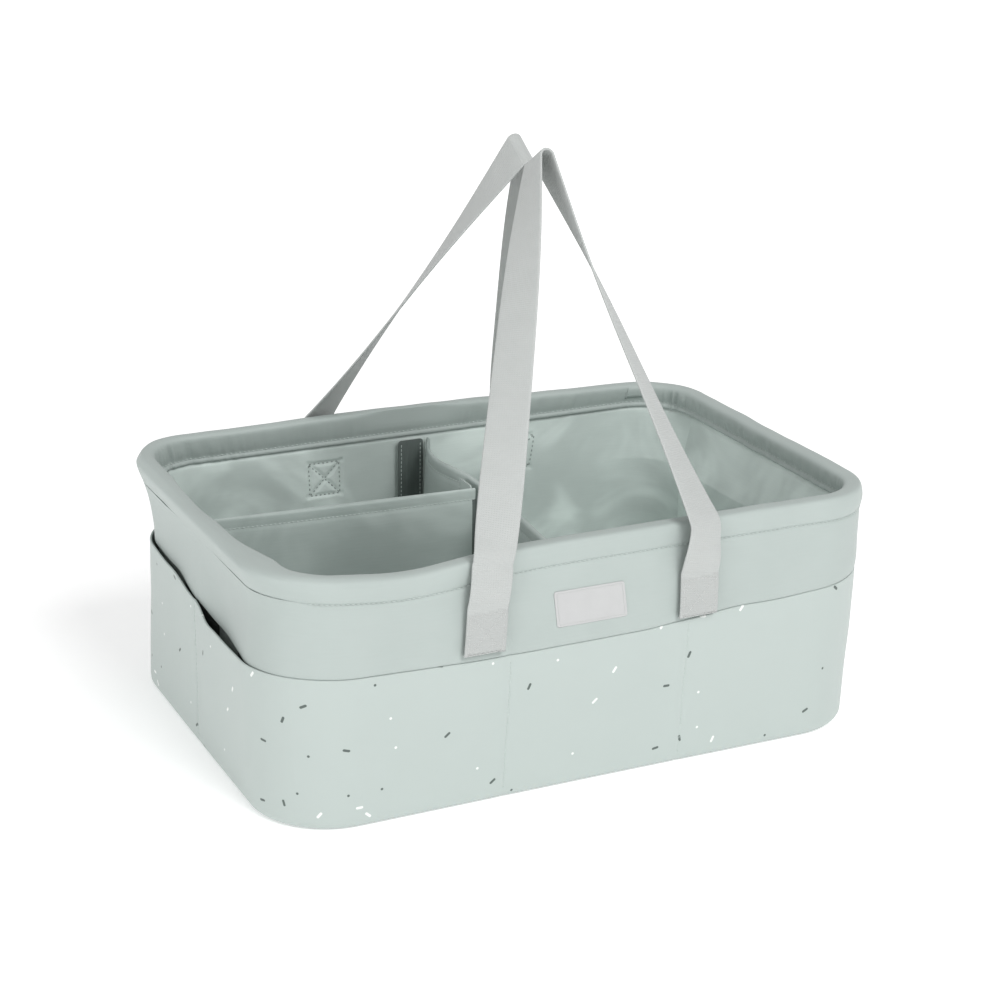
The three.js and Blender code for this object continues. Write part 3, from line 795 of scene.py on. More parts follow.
def collar_out(along, z):
    point = wall_point(along, 0, z)
    soft = 0.7 * MM * ruffle(point, 75 * MM, 3.1) + 0.3 * MM * ruffle(point, 24 * MM, 8.4)
    drawn = math.exp(-((z - HEM_SEAM + 0.2 * MM) / (1.2 * MM)) ** 2) * (1 - plain_left(along))
    pucker = 0.2 * MM * ruffle(point, 5 * MM, 1.7) * step_between(z, HEM_SEAM - 12 * MM, HEM_SEAM)
    shown = step_between(z, mouth_at(along) + 2 * MM, mouth_at(along) + 16 * MM)
    return collar_slope(along, z) + (soft + pucker) * calm_under(along) * shown - 0.5 * MM * drawn


print("collar at the front middle", round(collar_out(front_along(0), 0.11) / MM, 2), "mm out")

# %% Collar cloth
# Rows run from foot to hem and lie closest at the mouths. The painted shade starts just below a mouth.
FOOT_ROWS = [0.8 * MM, 3 * MM, 5 * MM]
PANEL_STEPS = 8
SHADE_FROM = -0.9 * MM
near_mouth = [d * MM for d in (-8, -5, -3, -1.6, -0.9, -0.3, 0.2, 0.7, 1.2, 1.8, 2.8, 4.2)]
sections = []
for along in span(0, ROUND, 480)[:-1]:
    mouth = mouth_at(along)
    heights = FOOT_ROWS + span(12 * MM, mouth - 12 * MM, PANEL_STEPS)
    heights += [mouth + d for d in near_mouth]
    heights += span(mouth + 6 * MM, HEM_SEAM - 5 * MM, 16)
    heights += span(HEM_SEAM - 3.6 * MM, HEM_SEAM + 0.6 * MM, 6)
    outside = [wall_point(along, collar_out(along, z), z) for z in heights]
    inside = [wall_point(along, -1.6 * MM, z) for z in reversed(heights[::4])]
    sections.append(outside + inside)
collar = loft("collar_cloth", sections, sage, ring=True)
rows = len(sections[0])
shaded_rows = len(FOOT_ROWS) + PANEL_STEPS + 1 + near_mouth.index(SHADE_FROM)
# Painted shade: the rows below the mouths, inside the pockets, take the nearly black colour.
second_finish(collar, pocket_shade, lambda polygon: polygon.index % rows < shaded_rows)
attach(collar, "tub")
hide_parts("outer_wall", "wall_foam")
print("collar", len(collar.data.vertices), "points")

# %% [markdown]
# ## The rim
# The outer fabric turns over a soft cord and is stitched down inside. That gives a round roll,
# drawn in at the stitch lines, with a small lip at its inner edge. The cloth is gathered round the
# corners and along the inner stitch line, so fine upright puckers run up from it and fade at the
# crown. The roll rises along the back, and next to the front left corner its inner half lies further
# in.

# %% Rim roll
hem_outline = [Vector((out * MM, z * MM)) for out, z in (
    (-0.5, 136.4), (0.0, 137.0), (0.3, 138.6), (0.4, 141.2), (0.4, 143.8), (0.2, 146.3), (-0.4, 148.4),
    (-1.7, 149.7), (-3.6, 150.1), (-6.2, 150.1), (-8.8, 149.9), (-10.5, 149.1), (-11.2, 147.6),
    (-10.9, 145.2), (-9.5, 141.6), (-7.5, 137.9), (-7.7, 136.9), (-8.1, 135.8), (-7.9, 134.7),
    (-7.2, 134.0), (-6.6, 134.3), (-6.2, 136.0), (-5.6, 140.0), (-3.6, 145.0), (-1.8, 141.0), (-1.4, 137.4),
)]
HEM_STEPS = 2
hem_line = rounded(hem_outline, HEM_STEPS, ring=True)
INNER_STITCH = 15 * HEM_STEPS
OUTER_STITCH = 1 * HEM_STEPS
CORNER_FOLD = 9 * MM
FOLD_AT = front_left - 24 * MM
FOLD_WIDTH = 27 * MM
SHOWN_TO = 20 * HEM_STEPS
hook_boxes = [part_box(node) for node in ("cross_flap_back", "cross_flap_front", "long_flap_left")]
print("rim section", len(hem_line), "points")


# %% Gathers and folds of the rim
def clear_of(point, boxes, reach):
    """0 at any of the boxes, seen from above, and 1 beyond reach from them all."""
    best = 1.0
    for low, high in boxes:
        away = max(max(low[i] - point[i], point[i] - high[i], 0) for i in range(2))
        best = min(best, step_between(away, 4 * MM, 4 * MM + reach))
    return best


def pucker_at(along):
    """Fine gathers along the hem: ridges of uneven spacing, stronger in some places."""
    where = Vector((along, 0, 0))
    comb = 1 - 2.2 * abs(ruffle(where, 6.5 * MM, 2.3)) - 0.9 * abs(ruffle(where, 3.1 * MM, 6.1))
    some = 0.5 + 0.7 * ruffle(where, 45 * MM, 4.4)
    corner = abs(math.sin(2 * place_at(along)[2]))
    right_end = step_between(math.cos(place_at(along)[2]), 0.5, 1)
    return comb * max(0.3, some + 0.6 * corner + 0.6 * right_end)


def hem_point(along, j):
    """A point of the rim roll, puckers included."""
    out, z = hem_line[j]
    low_side = step_between(z, RIM_TOP - 1 * MM, RIM_TOP - 9 * MM)
    inner = step_between(-out, 5.8 * MM, 9 * MM) * low_side
    outer = step_between(out, -1 * MM, 0.3 * MM) * step_between(z, RIM_TOP - 4 * MM, RIM_TOP - 13 * MM)
    lift = crown_lift(along) * step_between(-out, 1 * MM, 5 * MM) * step_between(z, 138 * MM, 148 * MM)
    fold = CORNER_FOLD * math.exp(-((along - FOLD_AT) / FOLD_WIDTH) ** 2)
    fold *= step_between(-out, 2 * MM, 9 * MM) * step_between(z, 139 * MM, 147 * MM)
    wide = hip(along) * step_between(out, -3.5 * MM, -0.4 * MM) * low_side
    slow = Vector((along, 0, 0.3))
    wave = 0.6 * MM * ruffle(slow, 60 * MM, 9.2) + 0.3 * MM * ruffle(slow, 19 * MM, 5.5)
    gather = pucker_at(along)
    free = clear_of(wall_point(along, -9 * MM, 0.1), hook_boxes, 30 * MM)
    shown = 1 if j <= SHOWN_TO else 0
    out += shown * (-inner * free * 1.0 * MM * gather + outer * 0.15 * MM * gather + wave * 0.4)
    out = out * free + max(out, -9.2 * MM) * (1 - free) + wide - fold
    z += shown * wave * step_between(z, HEM_FOOT + 4 * MM, RIM_TOP)
    return wall_point(along, out, min(z, RIM_TOP + 0.6 * MM)) + Vector((0, 0, lift))


print("rim crown at the back middle", round(hem_point(back_along(0), 9 * HEM_STEPS).z, 4), "m up")

# %% Rim cloth
hem_alongs = span(0, ROUND, 1150)[:-1]
hem_sections = [[hem_point(along, j) for j in range(len(hem_line))] for along in hem_alongs]
rim = loft("rim_roll", hem_sections, sage, ring=True)
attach(rim, "tub")
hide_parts("rim_hem", "rim_cord")
print("rim", len(rim.data.vertices), "points")

# %% Rim stitching
# The outer line has a gap along the left end, so its run starts after that gap.
inner_run, outer_run = [], []
for along, section in zip(hem_alongs, hem_sections):
    inner_run.append((section[INNER_STITCH], -facing_at(along)))
    if plain_left(along) < 0.5:
        outer_run.append((section[OUTER_STITCH] - Vector((0, 0, 0.4 * MM)), facing_at(along)))
stitches("rim_stitches_inside", [inner_run + inner_run[:1]], thread_pale, "tub", pitch=3.0 * MM, cover=0.62)
split = max(range(1, len(outer_run)), key=lambda i: (outer_run[i][0] - outer_run[i - 1][0]).length)
outer_run = outer_run[split:] + outer_run[:split]
stitches("rim_stitches_outside", [outer_run], thread_pale, "tub", pitch=3.0 * MM, thick=0.3 * MM)
print("rim stitched")

# %% [markdown]
# ## The lining
# The inside is lined with the same satin over thin foam, so it shows soft cloudy dents instead of
# sharp creases. It is calm where a tape is sewn on, and drawn in by the box of stitches that holds
# each handle's end from the other side.

# %% Lining
LINING_OUT = -5.8 * MM
FLOOR_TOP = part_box("base_lining")[1].z
SEWN_Z = (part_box("handle_end_front_left")[0].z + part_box("handle_end_front_left")[1].z) / 2
tape_boxes = [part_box(node) for node in ("loop_tape_back", "loop_tape_front", "loop_tape_left")]
BOX_HALF_X = 10.5 * MM
BOX_HALF_Z = 11 * MM
BOX_Z = SEWN_Z + 3 * MM


def box_relief(point):
    """Whether a point is in a sewn box, and how close it is to one of the box's lines."""
    if abs(point.y) < HALF_WIDTH - 12 * MM:
        return 0.0, 0.0
    word = "front" if point.y < 0 else "back"
    dx = min((point.x - sewn_x[word, hand] for hand in ("left", "right")), key=abs)
    dz = point.z - BOX_Z
    inside = 1 - step_between(max(abs(dx), abs(dz)), 12 * MM, 20 * MM)
    slope = math.hypot(BOX_HALF_X, BOX_HALF_Z)
    lines = [abs(abs(dx) - BOX_HALF_X), abs(abs(dz) - BOX_HALF_Z)]
    lines.append(abs(abs(dx) * BOX_HALF_Z - abs(dz) * BOX_HALF_X) / slope)
    on_line = math.exp(-(min(lines) / (1.5 * MM)) ** 2)
    return inside, on_line * (1 - step_between(max(abs(dx), abs(dz)), 11.5 * MM, 14 * MM))


def lining_out(along, z):
    flat = wall_point(along, LINING_OUT, z)
    stretched = Vector((flat.x, flat.y, flat.z * 0.7))
    soft = 2.9 * MM * ruffle(stretched, 58 * MM, 6.6) + 1.5 * MM * ruffle(stretched, 26 * MM, 2.2)
    soft += 0.3 * MM * ruffle(flat, 10 * MM, 7.7)
    calm = clear_of(flat, tape_boxes, 16 * MM) * step_between(z, FLOOR_TOP, FLOOR_TOP + 10 * MM)
    under_hem = math.exp(-((z - HEM_FOOT + 0.4 * MM) / (1.3 * MM)) ** 2)
    inside, on_line = box_relief(flat)
    out = LINING_OUT + (soft * (0.12 + 0.88 * calm) - 0.4 * MM) * (1 - 0.85 * inside)
    return min(out, LINING_OUT + 0.8 * MM) + 1.0 * MM * under_hem + 0.9 * MM * on_line - 0.3 * MM * inside


print("lining at the front middle", round(lining_out(front_along(0), 0.08) / MM, 2), "mm out")

# %% Lining cloth
# Rows and columns lie closer at the sewn boxes, which have fine relief.
lining_heights = [FLOOR_TOP - 1 * MM] + span(FLOOR_TOP, BOX_Z - 15 * MM, 30)
lining_heights += span(BOX_Z - 14 * MM, BOX_Z + 14 * MM, 34)
lining_heights += span(BOX_Z + 15 * MM, HEM_FOOT - 3 * MM, 3)
lining_heights += span(HEM_FOOT - 2 * MM, HEM_FOOT + 2 * MM, 4)
lining_alongs = span(0, ROUND, 420)[:-1]
for word, hand in HANDLE_ENDS:
    box_at = along_of[word](sewn_x[word, hand])
    lining_alongs += span(box_at - 15 * MM, box_at + 15 * MM, 36)
sections = []
for along in sorted(lining_alongs):
    inside = [wall_point(along, lining_out(along, z), z) for z in lining_heights]
    outside = [wall_point(along, LINING_OUT + 1.8 * MM, z) for z in reversed(lining_heights[::6])]
    sections.append(inside + outside)
lining = loft("lining_cloth", sections, lining_painted_light, ring=True)
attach(lining, "tub")
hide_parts("lining_wall")
print("lining", len(lining.data.vertices), "points")

# %% Box stitches seen on the lining
box_corners = [(-1, -1), (1, -1), (1, 1), (-1, 1)]
box_lines = list(zip(box_corners, box_corners[1:] + box_corners[:1]))
box_lines += [((-1, -1), (1, 1)), ((-1, 1), (1, -1))]


def box_runs(on_face):
    """The four sides and two diagonals of a sewn box, laid on a surface."""
    runs = []
    for (x0, z0), (x1, z1) in box_lines:
        shares = [(x0 + (x1 - x0) * t, z0 + (z1 - z0) * t) for t in span(0, 1, 8)]
        runs.append([on_face(x * BOX_HALF_X, z * BOX_HALF_Z) for x, z in shares])
    return runs


for word, hand in HANDLE_ENDS:
    def on_lining(dx, dz, word=word, hand=hand):
        along = along_of[word](sewn_x[word, hand] + dx)
        z = BOX_Z + dz
        return wall_point(along, lining_out(along, z), z), -facing_at(along)

    name = f"lining_box_{word}_{hand}"
    stitches(name, box_runs(on_lining), thread_dark, "tub", pitch=3.0 * MM, thick=0.45 * MM, cover=0.55)
print("four boxes on the lining")

# %% [markdown]
# ## The floor and the underside
# The floor is a stiff board in a fabric sleeve. Its lining is almost flat, with a few shallow
# dents, and turns down at its edge. The underside is a flat sheet whose edge curls up to meet the
# walls.

# %% Floor and underside
def floor_sheet(name, rings_of, finish, grow=0):
    """A closed sheet from rings that run from its middle out, over its edge and back."""
    alongs = span(0, ROUND, 240)[:-1]
    rings = [[wall_point(along, out + grow * swell(along), z) for along in alongs] for out, z in rings_of]
    points, faces, cloth = [], [], []
    size = len(rings[0])
    for ring in rings:
        points += ring
    for i in range(len(rings) - 1):
        for j in range(size):
            k = (j + 1) % size
            faces.append((i * size + j, i * size + k, (i + 1) * size + k, (i + 1) * size + j))
    faces.append(tuple(range(size)))
    faces.append(tuple(range((len(rings) - 1) * size, len(rings) * size)))
    for face in faces:
        cloth += [(points[v].x, points[v].y) for v in face]
    return sewn(name, points, faces, finish, cloth)


def shrink_rings(edge, z):
    """Rings from near the middle out to the edge of the floor."""
    return [(edge - reach, z) for reach in (38 * MM, 30 * MM, 20 * MM, 12 * MM, 6 * MM, 2.5 * MM)]


# The floor's lining takes the lining's painted light and painted sheen.
floor_cloth = floor_sheet("floor_cloth", shrink_rings(LINING_OUT - 0.4 * MM, FLOOR_TOP) + [
    (LINING_OUT - 0.7 * MM, FLOOR_TOP - 0.2 * MM), (LINING_OUT - 0.5 * MM, FLOOR_TOP - 0.6 * MM),
    (LINING_OUT - 0.7 * MM, FLOOR_TOP - 1 * MM), (LINING_OUT - 20 * MM, FLOOR_TOP - 1 * MM),
], lining_painted_light)
for vertex in floor_cloth.data.vertices:
    dent = 0.4 * MM * (ruffle(vertex.co, 50 * MM, 1.1) - 0.5)
    vertex.co.z += dent * step_between(vertex.co.z, FLOOR_TOP - 0.4 * MM, FLOOR_TOP)
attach(floor_cloth, "tub")
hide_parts("base_lining")

UNDER_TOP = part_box("base_cover")[1].z
underside = floor_sheet("underside_cloth", [
    (-30 * MM, UNDER_TOP), (-4 * MM, UNDER_TOP), (-0.6 * MM, UNDER_TOP), (-0.2 * MM, UNDER_TOP * 0.75),
    (-0.3 * MM, UNDER_TOP * 0.35), (-1.2 * MM, 0.0001), (-4 * MM, 0), (-30 * MM, 0),
], sage, grow=1)
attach(underside, "tub")
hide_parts("base_cover")
print("floor and underside laid")

# %% [markdown]
# ## The pockets
# Each side's pockets are one band, sewn at its seams and along its foot. The mouth is turned over, so
# its edge is round, and it waves slightly. Close to a seam the cloth is pinched down and small level
# wrinkles run off it.

# %% Pockets
pocket_shares = [share * MM / POCKET_MOUTH for share in (0.4, 1.0, 2.0, 3.4, 5.5, 8, 11)]
pocket_shares += span(0.16, 0.82, 14) + span(0.845, 0.99, 10)
mouth_turn = [(1.0, -0.7), (0.9, -0.3), (0.65, -0.05), (0.35, -0.05), (0.1, -0.3), (0.0, -0.8)]


def pocket(name, node, first, last, steps):
    sections = []
    for along in span(first, last, steps):
        mouth = mouth_at(along)
        heights = [share * mouth for share in pocket_shares]
        section = [wall_point(along, pocket_face(along, z), z) for z in heights]
        outer = pocket_face(along, heights[-1])
        for share, drop in mouth_turn:
            section.append(wall_point(along, outer - (1 - share) * POCKET_CLOTH, mouth + drop * MM))
        for z in reversed(heights[::3]):
            high = z - 1.5 * MM * step_between(z, 60 * MM, mouth)
            section.append(wall_point(along, pocket_face(along, z) - POCKET_CLOTH, high))
        sections.append(section)
    made = loft(name, sections, mint)
    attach(made, "tub")
    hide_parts(node)
    return made


half_bend = BEND_RUN / 2
pocket("front_pockets", "pocket_front", FRONT_FROM - half_bend, FRONT_FROM + LONG_RUN + half_bend, 180)
pocket("back_pockets", "pocket_back", BACK_FROM - half_bend, BACK_FROM + LONG_RUN + half_bend, 180)
pocket("left_pockets", "pocket_left", LEFT_FROM - half_bend, LEFT_FROM + SHORT_RUN + half_bend, 130)
pocket("right_pockets", "pocket_right", RIGHT_FROM - half_bend, RIGHT_FROM + SHORT_RUN + half_bend, 130)
print("four pocket bands")

# %% Pocket seams
seam_runs = []
for along in side_seams:
    seam_runs.append([
        (wall_point(along, pocket_face(along, z), z), facing_at(along))
        for z in span(6 * MM, mouth_at(along) - 3 * MM, 30)
    ])
stitches("pocket_seam_stitches", seam_runs, thread_pale, "tub", pitch=3.0 * MM, thick=0.28 * MM)
print(len(seam_runs), "seams stitched")

# %% [markdown]
# ## Patches: label, flaps and tapes
# A patch is a flat strip with rounded corners and soft edges. One function builds it in the space
# that the CAD node holds, along the node's own long side, so label, flaps and tapes share it.

# %% Patches
def sides_of(node):
    """A node's box, and its axes from the thinnest to the longest."""
    low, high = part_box(node)
    return low, high, sorted(range(3), key=lambda axis: (high - low)[axis])


def patch(name, node, finish, body, slot, corner=1.6 * MM, wave=0.15 * MM, steps=44, lay=None):
    """A thin strip in a node's box, with rounded corners and edges, then laid on what is under it."""
    low, high, (thin, wide, long) = sides_of(node)
    middle = (low + high) / 2
    half = (high - low) / 2
    ends = [corner * share for share in (0.02, 0.15, 0.4, 0.7)]
    stations = [-half[long] + e for e in ends] + span(-half[long] + corner, half[long] - corner, steps)
    stations += [half[long] - e for e in reversed(ends)]
    rim_turn = [(1, 0), (0.98, 0.55), (0.94, 0.9)]
    across = rim_turn + [(w, 1) for w in span(0.86, -0.86, 10)]
    across += [(-w, t) for w, t in reversed(rim_turn)]
    across += [(w, -t) for w, t in reversed(across[1:-1])]
    sections = []
    for at in stations:
        inset = max(0, corner - (half[long] - abs(at)))
        reach = half[wide] - corner + math.sqrt(max(0, corner ** 2 - inset ** 2))
        section = []
        for w, t in across:
            point = middle.copy()
            point[long] += at
            point[wide] += w * reach
            point[thin] += t * half[thin] * 0.96
            point[thin] += wave * ruffle(point, 17 * MM, 4.8)
            section.append(lay(point) if lay else point)
        sections.append(section)
    made = loft(name, sections, finish)
    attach(made, body)
    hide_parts(node)
    return made


def on_collar(point):
    """Lays a point of the label on the sloping collar, a little higher and flatter than its box."""
    low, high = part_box("label_patch")
    x, z = point.x - 2 * MM, (low.z + high.z) / 2 + 3.4 * MM
    z += (point.z - (low.z + high.z) / 2) * 0.87
    depth = (high.y - point.y) / (high.y - low.y)
    return Vector((x, -HALF_WIDTH - collar_out(front_along(x), z) - (0.05 + 0.5 * depth) * MM, z))


def edge_runs(node, inset, side):
    """A line of stitches round a patch, inset from its edge, on the face towards side."""
    low, high, (thin, wide, long) = sides_of(node)
    out = Vector((0, 0, 0))
    out[thin] = side
    corners = []
    for w, l in ((0, 0), (1, 0), (1, 1), (0, 1), (0, 0)):
        point = Vector((0, 0, 0))
        point[thin] = high[thin] if side > 0 else low[thin]
        point[wide] = low[wide] + inset if w == 0 else high[wide] - inset
        point[long] = low[long] + inset if l == 0 else high[long] - inset
        corners.append(point)
    return [[(a.lerp(b, t), out) for t in span(0, 1, 12)] for a, b in zip(corners, corners[1:])]


print("patch helpers ready")

# %% Label
label = patch(
    "label_cloth", "label_patch", label_weave, "tub", "label_fabric", wave=0.12 * MM, lay=on_collar,
)
low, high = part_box("label_patch")
label_runs = [[(on_collar(p), out) for p, out in run] for run in edge_runs("label_patch", 1.6 * MM, -1)]
stitches("label_stitches", label_runs, thread_grey, "tub", pitch=2.0 * MM, thick=0.2 * MM)
print("label sewn on, left bare")

# %% Flaps and tapes
flaps = {
    "cross_flap_back": ("cross_back_flap", "hook_tape_cross_back", -1),
    "cross_flap_front": ("cross_front_flap", "hook_tape_cross_front", 1),
    "long_flap_left": ("long_left_flap", "hook_tape_long_left", 1),
    "long_flap_right": ("long_right_flap", "hook_tape_long_right", -1),
}
for node, (body, hook, side) in flaps.items():
    # The flaps get a painted shade colour; the long divider's right flap takes the divider's painted shade
    # instead.
    finish = divider_painted_shade if node == "long_flap_right" else flap_painted_shade
    made = patch(node + "_cloth", node, finish, body, "lining_fabric", corner=2 * MM, wave=0.25 * MM)
    low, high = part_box(node)
    upright = edge_runs(node, 2.2 * MM, side)[1::2]
    stitches(node + "_stitches", upright, thread_pale, body, pitch=2.8 * MM, thick=0.3 * MM)
    patch(hook + "_strip", hook, tape_weave, body, "tape", corner=1.2 * MM, wave=0)
for node in ("loop_tape_back", "loop_tape_front", "loop_tape_left", "loop_tape_cross"):
    body = "cross_divider" if node == "loop_tape_cross" else "tub"
    patch(node + "_strip", node, tape_weave, body, "tape", corner=1.2 * MM, wave=0)
print("four flaps with their tapes")

# %% [markdown]
# ## The dividers
# A divider is a stiff sheet in a padded sleeve. Its top edge is bound: a narrow hem, a line of
# stitches, then the soft panel below. Towards its ends it gets thinner, which leaves room for the
# flaps, and the last few millimetres below the hem get the flaps' painted shade. Seen from above the
# cross divider isn't straight: it leans to the left at the front, bends left again past the long
# divider and swings to the right near the back wall.

# %% Dividers
BOUND = 7 * MM
PAINTED_SHADE_END = 4 * MM
THIN_REACH = 60 * MM
THIN_SHARE = 0.5


def divider_half(z, top, bottom):
    """Half the thickness at a height: the bound hem, its stitch line and the padded panel."""
    crown = top - z
    full = 2.0 * MM + 1.3 * MM * step_between(crown, 0, 16 * MM)
    round_top = math.sqrt(max(0, 1 - max(0, 1 - crown / (2 * MM)) ** 2))
    drawn = math.exp(-((crown - BOUND) / (1.5 * MM)) ** 2)
    foot = step_between(z, bottom, bottom + 4 * MM)
    puff = 0.7 * MM * math.sin(math.pi * min(1, max(0, (z - bottom) / (top - BOUND - bottom))))
    return full * round_top * (0.75 + 0.25 * foot) - 0.5 * MM * drawn + puff


def divider(name, nodes, body, line):
    low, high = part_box(nodes[0])
    top, bottom = high.z, low.z
    heights = span(bottom, top - 16 * MM, 26) + span(top - 15 * MM, top - 4 * MM, 11)
    heights += [top - d * MM for d in (3.0, 2.0, 1.3, 0.7, 0.3, 0.1, 0.01)]
    total = distances(line)
    ways = [way_at(line, i) for i in range(len(line))]
    sides = [Vector((ahead.y, -ahead.x, 0)) for ahead in ways]

    def end_away(i):
        return min(total[i], total[-1] - total[i])

    sections = []
    for i, (middle, side) in enumerate(zip(line, sides)):
        full = step_between(end_away(i), PAINTED_SHADE_END, THIN_REACH)
        taper = THIN_SHARE + (1 - THIN_SHARE) * full
        faces = []
        for sign in (1, -1):
            face = []
            for z in heights:
                point = Vector((middle.x, middle.y, z))
                soft = 0.55 * MM * ruffle(point, 45 * MM, 2.4 + sign)
                soft += 0.25 * MM * ruffle(point, 17 * MM, 6.2 + sign)
                soft *= full * step_between(top - z, BOUND, BOUND + 12 * MM)
                face.append(point + side * sign * (divider_half(z, top, bottom) * taper + soft))
            faces.append(face)
        sections.append(faces[0] + faces[1][::-1])
    # The panel takes the divider satin, painted darker as painted shade.
    made = loft(name, sections, divider_painted_shade)

    def painted_shade_end(polygon):
        lowest = min(made.data.vertices[v].co.z for v in polygon.vertices)
        return end_away(polygon.vertices[0] // len(sections[0])) < PAINTED_SHADE_END and lowest < top - BOUND

    # Painted shade: the last few millimetres of each end below the hem take the flaps' dark colour.
    second_finish(made, flap_painted_shade, painted_shade_end)
    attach(made, body)
    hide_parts(*nodes)
    row = min(range(len(heights)), key=lambda k: abs(top - heights[k] - BOUND))
    runs = []
    for sign, pick in ((1, row), (-1, 2 * len(heights) - 1 - row)):
        runs.append([(section[pick], side * sign) for section, side in zip(sections, sides)])
    stitches(name + "_stitches", runs, thread_pale, body, pitch=2.8 * MM, thick=0.34 * MM)
    return made


print("divider helpers ready")

# %% Cross divider
low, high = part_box("cross_divider_sleeve")
CROSS_X = 1 * MM
CROSS_LEAN = 9 * MM
CROSS_WAIST = 5.5 * MM
CROSS_WAIST_Y = 75 * MM
CROSS_BOW = 7 * MM
CROSS_TURN_Y = high.y - 1.5 * MM
GRIP_FROM_Y, GRIP_TO_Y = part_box("long_flap_right")[0].y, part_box("long_flap_right")[1].y


def cross_x(y):
    """The cross divider's line from above: a lean at the front, a waist and a bow at the back."""
    lean = step_between(y, -CROSS_TURN_Y, GRIP_FROM_Y)
    waist = step_between(y, GRIP_TO_Y, CROSS_WAIST_Y)
    bow = min(1, max(0, (y - CROSS_WAIST_Y) / (CROSS_TURN_Y - CROSS_WAIST_Y))) ** 2
    return CROSS_X - CROSS_LEAN * (1 - lean) - CROSS_WAIST * (waist - bow) + CROSS_BOW * bow


cross_line = [Vector((cross_x(y), y, 0)) for y in span(low.y, high.y, 130)]
divider("cross_divider_pad", ("cross_divider_sleeve", "cross_divider_core"), "cross_divider", cross_line)
print("cross divider", round(distances(cross_line)[-1], 3), "m along its line")

# %% Long divider
LONG_LEFT_Y = 27 * MM
LONG_RIGHT_Y = 17 * MM
low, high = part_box("long_divider_sleeve")
left_end = Vector((low.x, LONG_LEFT_Y, 0))
right_end = Vector((high.x, LONG_RIGHT_Y, 0))
long_line = [left_end.lerp(right_end, t) for t in span(0, 1, 80)]
divider("long_divider_pad", ("long_divider_sleeve", "long_divider_core"), "long_divider", long_line)
print("long divider", round(distances(long_line)[-1], 3), "m along its line")

# %% [markdown]
# ## The handles
# Each handle is one length of flat webbing. Both ends are turned under and sewn to the collar,
# then the webbing passes the rim, turns a quarter as it rises, and folds over at the crest. It is a
# narrow section carried along that route, with its own direction across the webbing at each stop.
# No two legs are sewn alike, so each has its own slant and its own first turn. The turned-under layer
# is narrower, so that it stays hidden. Just above the sewn ends, where the handle's hinge is, the
# webbing leaves the collar.

# %% Handle route
WEB_HALF = 12.5 * MM
WEB_THICK = 1.5 * MM
SEWN_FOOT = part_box("handle_end_front_left")[0].z
SEWN_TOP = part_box("handle_end_front_left")[1].z
CREST_Z = 343.5 * MM
CREST_Y = -12.5 * MM
CREST_BEND = 4 * MM
RIM_BEND = 5 * MM
UNDER_OUT = LAYER_GAP + WEB_THICK / 2
OVER_OUT = UNDER_OUT + WEB_THICK + 1.1 * MM
RIM_Y = -131.95 * MM
RIM_Z = HEM_FOOT + 14.7 * MM
TWIST_EASE = 0.9
# For each leg: its shift sideways at the foot and at the rim, and its share of the turn at the rim.
FOOT_SHIFT = dict(zip(HANDLE_ENDS, (-3.5 * MM, -4.5 * MM, 0.5 * MM, 0.5 * MM)))
RIM_SHIFT = dict(zip(HANDLE_ENDS, (7 * MM, 2.5 * MM, -1 * MM, -1 * MM)))
START_TURN = dict(zip(HANDLE_ENDS, (0.0, 0.2, 0.16, 0.1)))
crest_x = {"front": 16.5 * MM, "back": 19.5 * MM}

lean = math.atan2(-RIM_Y + CREST_Y, CREST_Z - RIM_Z)
climb_way = Vector((0, math.sin(lean), math.cos(lean)))
square_way = Vector((0, math.cos(lean), -math.sin(lean)))
CREST_CLIMB = math.hypot(-RIM_Y + CREST_Y, CREST_Z - RIM_Z) - CREST_BEND - WEB_THICK / 2
print("handles lean", round(math.degrees(lean), 1), "degrees")


# %% Places on a handle
def on_plane(x, climb):
    return Vector((x, RIM_Y, RIM_Z)) + climb_way * climb


def touch_angle(foot_x, top_x):
    """Where a leg from foot_x meets the round fold at the crest."""
    reach = math.hypot(foot_x - top_x, CREST_CLIMB)
    spread = math.copysign(math.acos(CREST_BEND / reach), foot_x - top_x)
    return math.atan2(-CREST_CLIMB, foot_x - top_x) + spread


def sewn_y(word, x, z, layer):
    """Out over the sloping collar. Both handles are routed as the front one, then mirrored."""
    return -(HALF_WIDTH + collar_out(along_of[word](x), z) + layer)


def slanted_x(word, hand, z):
    """The webbing's middle line slants from its foot to the rim."""
    share = (z - SEWN_FOOT) / (RIM_Z - SEWN_FOOT)
    return sewn_x[word, hand] + FOOT_SHIFT[word, hand] * (1 - share) + RIM_SHIFT[word, hand] * share


print("left foot of the front handle at x", round(slanted_x("front", "left", SEWN_FOOT), 4), "m")


